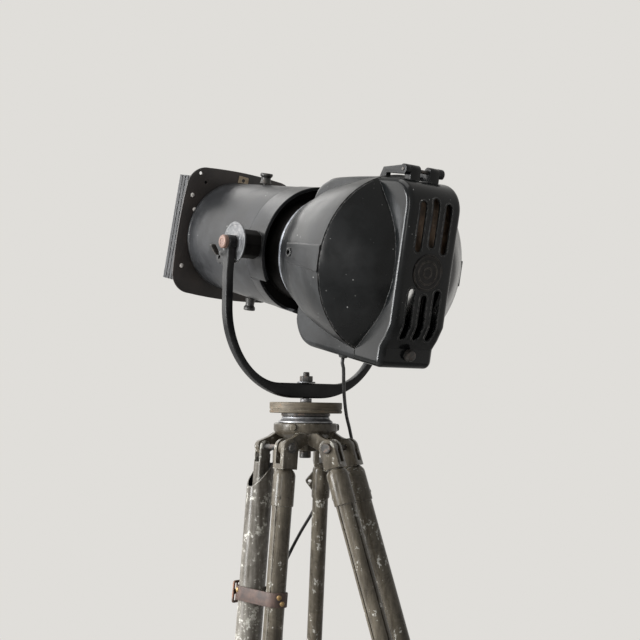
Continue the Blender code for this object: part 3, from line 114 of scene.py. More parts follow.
def rod(radius, low, high, axis="up", centre=(0.0, 0.0, 0.0), steps=small, edge=0.0):
    if edge:
        profile = [(low, 0.0), (low, radius - edge), (low + edge, radius), (high - edge, radius), (high, radius - edge), (high, 0.0)]
    else:
        profile = [(low, 0.0), (low, radius), (high, radius), (high, 0.0)]
    return turned(profile, axis, centre, steps, False)


def pipe(outer, inner, low, high, axis="up", centre=(0.0, 0.0, 0.0), steps=medium):
    return turned([(low, inner), (low, outer), (high, outer), (high, inner)], axis, centre, steps)


def prism(outline, low, high, plane):
    shape = bmesh.new()
    floor = shape.faces.new([shape.verts.new((a, b, low)) for a, b in outline])
    grown = bmesh.ops.extrude_face_region(shape, geom=[floor])
    raised = [item for item in grown["geom"] if isinstance(item, bmesh.types.BMVert)]
    bmesh.ops.translate(shape, verts=raised, vec=(0, 0, high - low))
    shape.transform(planeTurns[plane])
    return shape


def box(low, high):
    outline = [(low[0], low[1]), (high[0], low[1]), (high[0], high[1]), (low[0], high[1])]
    return prism(outline, low[2], high[2], "xy")


def arc(centre, radius, start, end, steps):
    turn = [math.radians(start + (end - start) * step / steps) for step in range(steps + 1)]
    return [(centre[0] + radius * math.cos(a), centre[1] + radius * math.sin(a)) for a in turn]


def rounded(outline, radius, steps=5):
    # an outline with each corner turned into an arc-like curve
    curved = []
    for index, corner in enumerate(outline):
        here = Vector(corner)
        before = Vector(outline[index - 1]) - here
        after = Vector(outline[(index + 1) % len(outline)]) - here
        reach = min(radius, before.length * 0.49, after.length * 0.49)
        first = here + before.normalized() * reach
        last = here + after.normalized() * reach
        for step in range(steps + 1):
            t = step / steps
            curved.append(tuple(first * (1 - t) ** 2 + here * 2 * t * (1 - t) + last * t ** 2))
    return curved


def smoothProfile(points, spacing):
    vectors = [Vector(point) for point in points]
    line = []
    for index in range(len(vectors) - 1):
        before = vectors[max(index - 1, 0)]
        after = vectors[min(index + 2, len(vectors) - 1)]
        first, last = vectors[index], vectors[index + 1]
        leave = first + (last - before) / 6
        reach = last - (after - first) / 6
        count = max(2, round((last - first).length / spacing))
        for step in range(count):
            t = step / count
            line.append(first * (1 - t) ** 3 + leave * 3 * t * (1 - t) ** 2 + reach * 3 * t ** 2 * (1 - t) + last * t ** 3)
    return line + [vectors[-1]]


def meshObject(name, shape):
    mesh = bpy.data.meshes.new(name)
    shape.normal_update()
    bmesh.ops.recalc_face_normals(shape, faces=shape.faces)
    shape.to_mesh(mesh)
    shape.free()
    thing = bpy.data.objects.new(name, mesh)
    bpy.context.scene.collection.objects.link(thing)
    return thing


def applyAll(thing):
    bpy.context.view_layer.update()
    shown = thing.evaluated_get(bpy.context.evaluated_depsgraph_get())
    mesh = bpy.data.meshes.new_from_object(shown)
    thing.modifiers.clear()
    old = thing.data
    thing.data = mesh
    bpy.data.meshes.remove(old)


def carve(thing, shape, operation="DIFFERENCE"):
    tool = meshObject("tool", shape)
    step = thing.modifiers.new("carve", "BOOLEAN")
    step.operation = operation
    step.solver = "EXACT"
    step.object = tool
    applyAll(thing)
    bpy.data.objects.remove(tool, do_unlink=True)


def inset(outline, distance):
    # moves each side of an anticlockwise outline inwards
    shifted = []
    for index, corner in enumerate(outline):
        here = Vector(corner)
        before = (here - Vector(outline[index - 1])).normalized()
        after = (Vector(outline[(index + 1) % len(outline)]) - here).normalized()
        first = Vector((-before.y, before.x))
        last = Vector((-after.y, after.x))
        shifted.append(tuple(here + (first + last) / max(0.35, 1.0 + first.dot(last)) * distance))
    return shifted


def softPrism(outline, low, high, plane, edge, segments=3):
    # a prism whose two rims are rounded over; its outline keeps every point at each level
    area = sum(outline[i - 1][0] * outline[i][1] - outline[i][0] * outline[i - 1][1] for i in range(len(outline)))
    path = list(outline) if area > 0 else list(reversed(outline))
    levels = []
    for step in range(segments + 1):
        turn = math.pi / 2 * step / segments
        levels.append((low + edge * (1 - math.sin(turn)), edge * (1 - math.cos(turn))))
    levels.reverse()
    levels += [(high - (place - low), depth) for place, depth in reversed(levels)]
    shape = bmesh.new()
    rings = [[shape.verts.new((a, b, place)) for a, b in (inset(path, depth) if depth else path)] for place, depth in levels]
    for lower, upper in zip(rings, rings[1:]):
        for index in range(len(path)):
            following = (index + 1) % len(path)
            shape.faces.new((lower[index], lower[following], upper[following], upper[index]))
    shape.faces.new(list(reversed(rings[0])))
    shape.faces.new(rings[-1])
    shape.transform(planeTurns[plane])
    return shape


def bevelEdges(shape, width, segments=2, angle=40.0):
    sharp = [edge for edge in shape.edges if len(edge.link_faces) == 2 and edge.calc_face_angle(0.0) > math.radians(angle)]
    bmesh.ops.bevel(shape, geom=sharp, offset=width, offset_type="OFFSET", affect="EDGES", segments=segments, profile=0.5,
                    material=-1, clamp_overlap=True)
    return shape


def softened(thing, width, segments=2, angle=35.0):
    step = thing.modifiers.new("edges", "BEVEL")
    step.width = width
    step.segments = segments
    step.limit_method = "ANGLE"
    step.angle_limit = math.radians(angle)
    step.harden_normals = False
    applyAll(thing)
    return thing


def twoFinishes(thing, first, second, takesSecond):
    thing.data.materials.append(finishes[first])
    thing.data.materials.append(finishes[second])
    for face in thing.data.polygons:
        if takesSecond(face.center, face.normal):
            face.material_index = 1


def finished(thing, body, material, nodes=(), turn=None, sharp=32.0):
    if turn is not None:
        thing.data.transform(turn)
    thing.data.shade_smooth()
    thing.data.set_sharp_from_angle(angle=math.radians(sharp))
    if not (len(thing.data.materials) == 2 and thing.data.materials[0] == material):
        thing.data.materials.clear()
        thing.data.materials.append(material)
    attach(thing, body)
    if nodes:
        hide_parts(*nodes)
    return thing


# Shader helpers
class Wire:
    # one socket of a finish, with the usual arithmetic

    def __init__(self, finish, socket):
        self.finish = finish
        self.socket = socket

    def calc(self, operation, first, second=None, clamp=False):
        values = {0: first} if second is None else {0: first, 1: second}
        return self.finish.add("ShaderNodeMath", {"operation": operation, "use_clamp": clamp}, values)

    def __add__(self, other):
        return self.calc("ADD", self, other)

    def __radd__(self, other):
        return self.calc("ADD", other, self)

    def __sub__(self, other):
        return self.calc("SUBTRACT", self, other)

    def __rsub__(self, other):
        return self.calc("SUBTRACT", other, self)

    def __mul__(self, other):
        return self.calc("MULTIPLY", self, other)

    def __rmul__(self, other):
        return self.calc("MULTIPLY", other, self)

    def __truediv__(self, other):
        return self.calc("DIVIDE", self, other)

    def __pow__(self, other):
        return self.calc("POWER", self, other)

    def above(self, low, high):
        # 0 below low, 1 above high
        return self.finish.add("ShaderNodeMapRange", {"interpolation_type": "SMOOTHSTEP"},
                               {0: self, 1: low, 2: high, 3: 0.0, 4: 1.0})

    def clamped(self):
        return self.calc("ADD", self, 0.0, True)


class Finish:
    def __init__(self, name):
        self.material = bpy.data.materials.new(name)
        self.material.use_nodes = True
        self.tree = self.material.node_tree
        self.shader = self.tree.nodes["Principled BSDF"]

    def plug(self, socket, value):
        if isinstance(value, Wire):
            self.tree.links.new(value.socket, socket)
        elif isinstance(value, (tuple, list)) and len(value) == 3 and socket.type == "RGBA":
            socket.default_value = (*value, 1.0)
        else:
            socket.default_value = value

    def add(self, kind, settings=None, values=None, out=0):
        node = self.tree.nodes.new(kind)
        for key, value in (settings or {}).items():
            if key == "stops":
                while len(node.color_ramp.elements) < len(value):
                    node.color_ramp.elements.new(0.5)
                for element, (place, colour) in zip(node.color_ramp.elements, value):
                    element.position = place
                    element.color = (*colour, 1.0)
            else:
                setattr(node, key, value)
        for key, value in (values or {}).items():
            self.plug(node.inputs[key], value)
        return Wire(self, node.outputs[out])

    def place(self, scale=(1.0, 1.0, 1.0), turn=(0.0, 0.0, 0.0), move=(0.0, 0.0, 0.0)):
        spot = self.add("ShaderNodeTexCoord", out="Object")
        return self.add("ShaderNodeMapping", {}, {"Vector": spot, "Scale": scale, "Rotation": turn, "Location": move})

    def noise(self, scale, detail=4.0, rough=0.55, vector=None, distortion=0.0):
        return self.add("ShaderNodeTexNoise", {}, {"Vector": vector or self.place(), "Scale": scale, "Detail": detail,
                                                   "Roughness": rough, "Distortion": distortion})

    def cells(self, scale, vector=None, feature="F1", randomness=1.0):
        return self.add("ShaderNodeTexVoronoi", {"feature": feature}, {"Vector": vector or self.place(), "Scale": scale,
                                                                      "Randomness": randomness})

    def blend(self, factor, first, second):
        return self.add("ShaderNodeMix", {"data_type": "RGBA"}, {0: factor, 6: first, 7: second}, out=2)

    def lerp(self, factor, first, second):
        return self.add("ShaderNodeMix", {"data_type": "FLOAT"}, {0: factor, 2: first, 3: second}, out=0)

    def edges(self, radius, low=0.02, high=0.25):
        # 1 on outer edges and corners, 0 on open faces
        rounded = self.add("ShaderNodeBevel", {"samples": 4}, {"Radius": radius})
        plain = self.add("ShaderNodeNewGeometry", out="Normal")
        level = self.add("ShaderNodeVectorMath", {"operation": "DOT_PRODUCT"}, {0: rounded, 1: plain}, out=1)
        return (1.0 - level).above(low, high)

    def facing(self, axis):
        # how far a face looks along an axis, from -1 to 1
        normal = self.add("ShaderNodeNewGeometry", out="Normal")
        return self.add("ShaderNodeVectorMath", {"operation": "DOT_PRODUCT"}, {0: normal, 1: axis}, out=1)

    def surface(self, colour, roughness, metallic=0.0, height=None, depth=0.0004, strength=1.0, roundEdge=0.0, **fixed):
        self.plug(self.shader.inputs["Base Color"], colour)
        self.plug(self.shader.inputs["Roughness"], roughness)
        self.plug(self.shader.inputs["Metallic"], metallic)
        normal = None
        if roundEdge:
            normal = self.add("ShaderNodeBevel", {"samples": 4}, {"Radius": roundEdge})
        if height is not None:
            values = {"Height": height, "Distance": depth, "Strength": strength}
            if normal is not None:
                values["Normal"] = normal
            normal = self.add("ShaderNodeBump", {}, values)
        if normal is not None:
            self.plug(self.shader.inputs["Normal"], normal)
        for key, value in fixed.items():
            self.plug(self.shader.inputs[key], value)
        return self.material


# Finishes
blacks = {
    "barrelBlack": {"dark": (0.015, 0.0155, 0.0165), "pale": (0.036, 0.037, 0.039), "rough": (0.27, 0.40), "chips": 0.35, "speck": 0.70},
    "houseBlack": {"dark": (0.0085, 0.0090, 0.0096), "pale": (0.023, 0.0242, 0.0255), "rough": (0.26, 0.40), "chips": 0.50, "speck": 0.70},
    # The door's black is darker than the house's: painted shade on the rear half, which faces away from the lamps; its
    # lower roughness is the rear half's glossier paint.
    "doorBlackShaded": {"dark": (0.0045, 0.0052, 0.0056), "pale": (0.0115, 0.0122, 0.0128), "rough": (0.13, 0.22), "chips": 0.55, "speck": 0.66, "shine": 0.20},
    "yokeBlack": {"dark": (0.0085, 0.0086, 0.0090), "pale": (0.030, 0.030, 0.030), "rough": (0.26, 0.40), "chips": 0.60, "speck": 0.72},
    # deepBlack also stands in as painted shade inside the thick leg tube, inside the band and inside the colour runner.
    "deepBlack": {"dark": (0.0035, 0.0032, 0.0030), "pale": (0.008, 0.0075, 0.0070), "rough": (0.50, 0.62), "chips": 0.10, "speck": 0.8, "shine": 0.08},
}


def blackPaint(name):
    facts = blacks[name]
    f = Finish(name)
    broad = f.noise(9.0, 5.0, 0.6)
    patch = f.noise(42.0, 6.0, 0.62, distortion=0.4)
    grain = f.noise(900.0, 2.0, 0.5)
    dust = (broad * 0.65 + patch * 0.35).above(0.42, 0.66)
    colour = f.blend(dust, facts["dark"], facts["pale"])
    rubbed = f.noise(160.0, 5.0, 0.7)
    edge = f.edges(0.0016, 0.03, 0.22)
    wear = (edge * rubbed).above(0.40, 0.56) * facts["chips"]
    colour = f.blend(wear, colour, (0.30, 0.29, 0.28))
    speckPlace = f.cells(120.0, f.place(turn=(0.4, 0.9, 0.2)))
    speck = (1.0 - speckPlace).above(0.86, 0.93) * f.noise(26.0, 3.0, 0.6).above(facts["speck"] - 0.14, facts["speck"])
    colour = f.blend(speck * 0.8, colour, (0.42, 0.42, 0.41))
    streak = f.noise(1.0, 5.0, 0.6, f.place(scale=(900.0, 30.0, 700.0), turn=(0.3, 0.1, 0.6))).above(0.66, 0.78)
    colour = f.blend(streak * 0.16, colour, (0.16, 0.16, 0.165))
    rough = f.lerp(dust, facts["rough"][0], facts["rough"][1]) + grain * 0.06
    height = grain * 0.25 + patch * 0.5 + rubbed * 0.25
    return f.surface(colour, rough.clamped(), 0.0, height, 0.00022, 0.5, 0.0012, **{"Specular IOR Level": facts.get("shine", 0.16)})


def platePaint(name):
    f = Finish(name)
    broad = f.noise(14.0, 5.0, 0.6)
    patch = f.noise(70.0, 5.0, 0.65)
    colour = f.blend(broad.above(0.35, 0.7), (0.0085, 0.0072, 0.0068), (0.024, 0.018, 0.0155))
    wear = (f.edges(0.0014, 0.03, 0.22) * patch).above(0.38, 0.52)
    colour = f.blend(wear * 0.6, colour, (0.20, 0.18, 0.16))
    rough = f.lerp(patch, 0.38, 0.62)
    return f.surface(colour, rough, 0.0, patch, 0.0002, 0.5, 0.001)


def runnerPaint(name):
    # dark paint rubbed to dull steel along the folds, with pale streaks down the sides
    f = Finish(name)
    streak = f.noise(1.0, 5.0, 0.65, f.place(scale=(500.0, 500.0, 26.0)))
    patch = f.noise(90.0, 5.0, 0.65)
    colour = f.blend(streak.above(0.35, 0.75), (0.016, 0.016, 0.017), (0.060, 0.062, 0.066))
    wear = (f.edges(0.0009, 0.03, 0.2) * (patch * 0.5 + 0.5)).above(0.30, 0.5)
    colour = f.blend(wear * 0.75, colour, (0.42, 0.42, 0.42))
    return f.surface(colour, f.lerp(patch, 0.34, 0.58), 0.08, patch, 0.00015, 0.5, 0.0006, **{"Specular IOR Level": 0.2})


def armyPaint(name, tone=1.0, bare=0.5, drop=1.0, rustAmount=0.5, grey=0.0):
    # thick olive paint over primer and steel: runs, chips and rust streaks
    f = Finish(name)
    broad = f.noise(7.0, 4.0, 0.6)
    patch = f.noise(34.0, 6.0, 0.66, distortion=0.7)
    fleck = f.noise(210.0, 4.0, 0.7)
    long = f.noise(1.0, 5.0, 0.62, f.place(scale=(160.0, 160.0, 14.0 * drop)))
    dark = tuple(channel * tone for channel in (0.036, 0.030, 0.022))
    light = tuple(channel * tone * (1 - grey) + worn * grey for channel, worn in zip((0.130, 0.113, 0.086), (0.31, 0.30, 0.28)))
    colour = f.blend((broad * 0.4 + patch * 0.25 + long * 0.35).above(0.36, 0.64), dark, light)
    rust = (long * 0.6 + patch * 0.4).above(0.60, 0.70) * fleck.above(0.35, 0.6)
    colour = f.blend(rust * rustAmount, colour, (0.115, 0.050, 0.022))
    edge = f.edges(0.0018, 0.03, 0.22)
    chip = ((patch * 0.62 + fleck * 0.38) + edge * 0.14 + (long - 0.5) * 0.25).above(0.612 - 0.055 * bare, 0.630 - 0.055 * bare)
    colour = f.blend(chip * 0.92, colour, f.blend(fleck.above(0.4, 0.7), (0.30, 0.29, 0.25), (0.52, 0.51, 0.47)))
    grime = (1.0 - broad).above(0.52, 0.7)
    colour = f.blend(grime * 0.3, colour, (0.030, 0.025, 0.018))
    rough = f.lerp(chip, f.lerp(patch, 0.20, 0.36), 0.45)
    height = patch * 0.45 + fleck * 0.2 - chip * 0.9 + long * 0.2
    return f.surface(colour, rough, 0.0, height, 0.0004, 0.55, 0.0014, **{"Coat Weight": 0.07, "Specular IOR Level": 0.20, "Coat Roughness": 0.22})


def khakiDisc(name):
    # bare, browned casting with rust in its grooves
    f = Finish(name)
    broad = f.noise(26.0, 6.0, 0.66)
    fleck = f.noise(260.0, 4.0, 0.7)
    band = f.noise(1.0, 5.0, 0.6, f.place(scale=(40.0, 40.0, 420.0)))
    colour = f.blend((broad * 0.5 + band * 0.5).above(0.36, 0.66), (0.052, 0.042, 0.029), (0.135, 0.115, 0.086))
    rust = (broad * 0.5 + fleck * 0.5).above(0.54, 0.66)
    colour = f.blend(rust * 0.6, colour, (0.17, 0.075, 0.028))
    edge = f.edges(0.0012, 0.03, 0.25) * fleck.above(0.3, 0.6)
    colour = f.blend(edge * 0.6, colour, (0.44, 0.40, 0.33))
    return f.surface(colour, f.lerp(broad, 0.42, 0.66), 0.10, broad * 0.6 + fleck * 0.4, 0.0003, 0.5, 0.0008,
                     **{"Specular IOR Level": 0.2})


def steel(name, dark, pale, rough, metallic, rustAmount=0.0, rustColour=(0.20, 0.085, 0.035), grainScale=300.0):
    f = Finish(name)
    patch = f.noise(60.0, 6.0, 0.66, distortion=0.5)
    fleck = f.noise(grainScale, 4.0, 0.6)
    colour = f.blend((patch * 0.6 + fleck * 0.4).above(0.35, 0.68), dark, pale)
    rust = (patch * 0.55 + fleck * 0.45).above(0.5, 0.64) * rustAmount
    colour = f.blend(rust.clamped(), colour, rustColour)
    worn = f.edges(0.0007, 0.04, 0.3) * 0.4
    colour = f.blend(worn, colour, tuple(min(1.0, channel * 1.8 + 0.05) for channel in pale))
    return f.surface(colour, f.lerp(fleck, rough[0], rough[1]), f.lerp(rust.clamped(), metallic, 0.1), fleck * 0.6 + patch * 0.4,
                     0.00015, 0.5, 0.0005)


def leatherFinish(name):
    f = Finish(name)
    broad = f.noise(60.0, 5.0, 0.6)
    pores = f.cells(1500.0)
    crack = f.noise(1.0, 5.0, 0.7, f.place(scale=(260.0, 260.0, 900.0)))
    colour = f.blend(broad.above(0.35, 0.65), (0.022, 0.0120, 0.0095), (0.070, 0.040, 0.030))
    rubbed = (f.edges(0.0012, 0.03, 0.2) * crack).above(0.4, 0.55)
    colour = f.blend(rubbed * 0.6, colour, (0.24, 0.15, 0.105))
    return f.surface(colour, f.lerp(broad, 0.5, 0.72), 0.0, pores * 0.5 + crack * 0.5, 0.0003, 0.7, 0.0008)


def rubberFinish(name):
    f = Finish(name)
    broad = f.noise(80.0, 4.0, 0.6)
    fleck = f.noise(900.0, 2.0, 0.5)
    colour = f.blend(broad.above(0.4, 0.7), (0.0075, 0.0075, 0.0075), (0.022, 0.0215, 0.021))
    return f.surface(colour, f.lerp(broad, 0.42, 0.6), 0.0, fleck, 0.0001, 0.4)


def glassFinish(name):
    f = Finish(name)
    smear = f.noise(30.0, 4.0, 0.6)
    return f.surface((0.93, 0.95, 0.945), f.lerp(smear.above(0.5, 0.8), 0.02, 0.10), 0.0, smear, 0.00005, 0.15,
                     **{"Transmission Weight": 1.0, "IOR": 1.5})


def mirrorFinish(name):
    f = Finish(name)
    haze = f.noise(40.0, 5.0, 0.6)
    colour = f.blend(haze, (0.78, 0.78, 0.77), (0.90, 0.90, 0.89))
    return f.surface(colour, f.lerp(haze, 0.08, 0.26), 1.0, haze, 0.0001, 0.2)


def ceramicFinish(name):
    f = Finish(name)
    tint = f.noise(50.0, 4.0, 0.6)
    colour = f.blend(tint, (0.60, 0.55, 0.45), (0.76, 0.72, 0.64))
    return f.surface(colour, f.lerp(tint, 0.22, 0.4), 0.0, tint, 0.0001, 0.3)


finishes = {name: blackPaint(name) for name in blacks}
finishes.update({
    "platePaint": platePaint("platePaint"),
    "runnerPaint": runnerPaint("runnerPaint"),
    "armyLeg": armyPaint("armyLeg", 1.0, 0.55, 1.0, 0.55),
    "armyThick": armyPaint("armyThick", 0.95, 1.10, 1.0, 0.40, 0.45),
    "armyHub": armyPaint("armyHub", 1.10, 0.15, 4.0, 0.60),
    "khakiDisc": khakiDisc("khakiDisc"),
    "galvanised": steel("galvanised", (0.070, 0.072, 0.075), (0.18, 0.184, 0.19), (0.34, 0.50), 0.75, 0.12),
    "rustyBolt": steel("rustyBolt", (0.11, 0.062, 0.048), (0.23, 0.148, 0.120), (0.45, 0.65), 0.15, 0.35),
    "darkSteel": steel("darkSteel", (0.016, 0.0155, 0.015), (0.050, 0.048, 0.045), (0.34, 0.55), 0.45, 0.10),
    "boltSteel": steel("boltSteel", (0.020, 0.019, 0.018), (0.085, 0.082, 0.076), (0.34, 0.55), 0.6, 0.35),
    "neckAluminium": steel("neckAluminium", (0.15, 0.152, 0.158), (0.33, 0.335, 0.345), (0.30, 0.5), 0.7, 0.10),
    "gateSteel": steel("gateSteel", (0.17, 0.18, 0.20), (0.36, 0.38, 0.42), (0.26, 0.42), 0.7, 0.05),
    "brass": steel("brass", (0.16, 0.095, 0.04), (0.42, 0.29, 0.13), (0.32, 0.55), 0.7, 0.35, (0.10, 0.06, 0.035)),
    "buckleIron": steel("buckleIron", (0.030, 0.022, 0.018), (0.16, 0.10, 0.075), (0.35, 0.6), 0.5, 0.9, (0.17, 0.065, 0.030)),
    "leather": leatherFinish("leather"),
    "rubber": rubberFinish("rubber"),
    "glass": glassFinish("glass"),
    "mirror": mirrorFinish("mirror"),
    "ceramic": ceramicFinish("ceramic"),
})
print("finishes ready")


# The mains lead: one free cord from the gland to its plug
lead = {
    "radius": 0.0025, "coilMiddle": 0.0275, "coilPitch": 0.0063, "coilRise": 0.0065, "coilTurns": 3, "coilStart": 252.0,
    "loopPoints": 24, "coilCentre": (0.1000, -0.1700), "glandAside": 0.010, "glandPlace": -0.135, "glandMouth": -0.1374,
    "route": [(0.0062, 0.1, 1.148), (-0.0044, 0.0867, 1.126), (-0.0212, 0.0667, 1.104),
              (-0.0419, 0.0446, 1.08), (-0.0624, 0.0261, 1.058), (-0.0794, 0.0075, 1.035),
              (-0.0794, -0.0183, 1.012), (-0.0799, -0.0413, 0.995), (-0.0787, -0.0655, 0.965),
              (-0.0730, -0.0810, 0.932), (-0.0578, -0.0914, 0.9), (-0.0370, -0.0880, 0.872),
              (-0.0205, -0.0900, 0.84), (-0.0115, -0.0960, 0.805), (-0.0067, -0.1025, 0.774),
              (-0.0035, -0.1081, 0.735), (0.0, -0.112, 0.62), (0.0, -0.125, 0.46), (-0.002, -0.143, 0.30),
              (-0.002, -0.163, 0.16), (0.002, -0.179, 0.075), (0.020, -0.188, 0.022)],
    "plugRadius": 0.019, "plugLength": 0.045, "jointAt": 3, "bendFrom": 2,
}
standShift = Vector((headAxis.x, headAxis.y, 0.0))
seatGap = 0.0003


def lampPoint(aside, forward, up):
    return lampTurn @ Vector((aside, -forward, up))


def coilLine():
    middle = Vector((*lead["coilCentre"], 0.0)) + standShift
    turnsEach = lead["coilTurns"]
    pitch = lead["coilPitch"]
    widest = lead["coilMiddle"] + pitch * turnsEach / 2
    points = []
    for step in range(int((2 * turnsEach + 0.5) * lead["loopPoints"]) + 1):
        turns = step / lead["loopPoints"]
        share = min(max((turns - turnsEach) / 0.5, 0.0), 1.0)
        radius = widest - pitch * min(turns, turnsEach)
        if turns > turnsEach + 0.5:
            radius = widest - pitch * (2 * turnsEach + 0.5 - turns)
        angle = math.radians(lead["coilStart"]) + 2 * math.pi * turns
        rise = lead["coilRise"] * (1 - math.cos(math.pi * share)) / 2
        points.append(middle + Vector((radius * math.cos(angle), radius * math.sin(angle), lead["radius"] + 0.0008 + rise)))
    return points


def tubeAlong(path, radius, sides=12):
    shape = bmesh.new()
    rings = []
    side = (path[1] - path[0]).orthogonal().normalized()
    for index, point in enumerate(path):
        along = (path[min(index + 1, len(path) - 1)] - path[max(index - 1, 0)]).normalized()
        side = (side - along * side.dot(along)).normalized()
        across = along.cross(side)
        rings.append([shape.verts.new(point + (side * math.cos(2 * math.pi * step / sides)
                                               + across * math.sin(2 * math.pi * step / sides)) * radius)
                      for step in range(sides)])
    for low, high in zip(rings, rings[1:]):
        for step in range(sides):
            follow = (step + 1) % sides
            shape.faces.new((low[step], low[follow], high[follow], high[step]))
    shape.faces.new(rings[0][::-1])
    shape.faces.new(rings[-1])
    return shape


def makeLead():
    start = lampPoint(lead["glandAside"], lead["glandPlace"], lead["glandMouth"] - seatGap)
    below = lampPoint(lead["glandAside"], lead["glandPlace"], lead["glandMouth"] - 0.008)
    coil = coilLine()
    heading = (coil[0] - coil[1]).normalized()
    route = [Vector(point) + standShift for point in lead["route"]]
    path = smoothProfile([start, below] + route + [coil[0] + heading * 0.020, coil[0] + heading * 0.006], 0.008)
    leave = (coil[-1] - coil[-2]).normalized()
    tail = coil[-1] + leave * 0.045
    tail.z = lead["plugRadius"] + seatGap
    rise = smoothProfile([coil[-2], coil[-1], coil[-1] + leave * 0.016 + Vector((0, 0, 0.003)), tail - leave * 0.012,
                          tail - leave * 0.005, tail], 0.004)
    points = path + coil[:-1] + rise[1:]
    line = []
    for point in points:
        if not line or (point - line[-1]).length > 0.0004:
            line.append(point)
    # the lead is cut near the yoke: the top is a separate tube from the gland down to there; the rest stays with the
    # stand
    joint = route[lead["jointAt"]]
    cut = min(range(len(line)), key=lambda index: (line[index] - joint).length)
    upper, line = line[:cut + 1], line[cut:]
    top = meshObject("lampLead", tubeAlong(upper, lead["radius"]))
    top.data.materials.append(finishes["rubber"])
    for face in top.data.polygons:
        face.use_smooth = True
    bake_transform(top)
    sum((b - a).length for a, b in zip(upper, upper[1:]))
    curve = bpy.data.curves.new("mainsLead", "CURVE")
    curve.dimensions = "3D"
    curve.bevel_depth = lead["radius"]
    curve.bevel_resolution = 4
    curve.use_fill_caps = True
    spline = curve.splines.new("POLY")
    spline.points.add(len(line) - 1)
    for spot, point in zip(spline.points, line):
        spot.co = (*point, 1.0)
    spline.use_smooth = True
    cord = bpy.data.objects.new("mainsLead", curve)
    bpy.context.scene.collection.objects.link(cord)
    curve.materials.append(finishes["rubber"])
    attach(cord, "stand")
    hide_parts("lead", "lead_coil")
    plug = makePlug(tail, leave)
    total = sum((b - a).length for a, b in zip(line, line[1:]))
    print("lead length", round(total, 3))


def makePlug(tail, leave):
    # a round three-pin stage plug with a ribbed grip
    long = lead["plugLength"]
    wide = lead["plugRadius"]
    profile = [(seatGap, 0.0), (seatGap, 0.006), (0.010, 0.0072), (0.014, wide * 0.72)]
    for rib in range(5):
        place = 0.016 + rib * 0.004
        profile += [(place, wide * (0.80 + rib * 0.03)), (place + 0.001, wide * (0.84 + rib * 0.03)),
                    (place + 0.0025, wide * (0.84 + rib * 0.03)), (place + 0.0032, wide * (0.81 + rib * 0.03))]
    profile += [(long - 0.008, wide), (long - 0.002, wide), (long, wide - 0.002), (long, 0.0)]
    turn = Matrix.Translation(tail) @ Vector((0, 0, 1)).rotation_difference(Vector((leave.x, leave.y, 0.0))).to_matrix().to_4x4()
    plug = meshObject("mainsPlug", turned(profile, closed=False))
    for index in range(3):
        angle = math.radians(120.0 * index + 90.0)
        spot = (0.0085 * math.cos(angle), 0.0085 * math.sin(angle), 0.0)
        carve(plug, rod(0.0032, long - 0.001, long + 0.016, centre=spot, edge=0.0008), "UNION")
    return finished(plug, "stand", finishes["rubber"], ["mains_plug"], turn)


makeLead()


# Floor and lights
stageFacts = {"floor": 2.2, "pale": (0.745, 0.730, 0.700), "floorGlow": (0.17, 0.166, 0.158)}


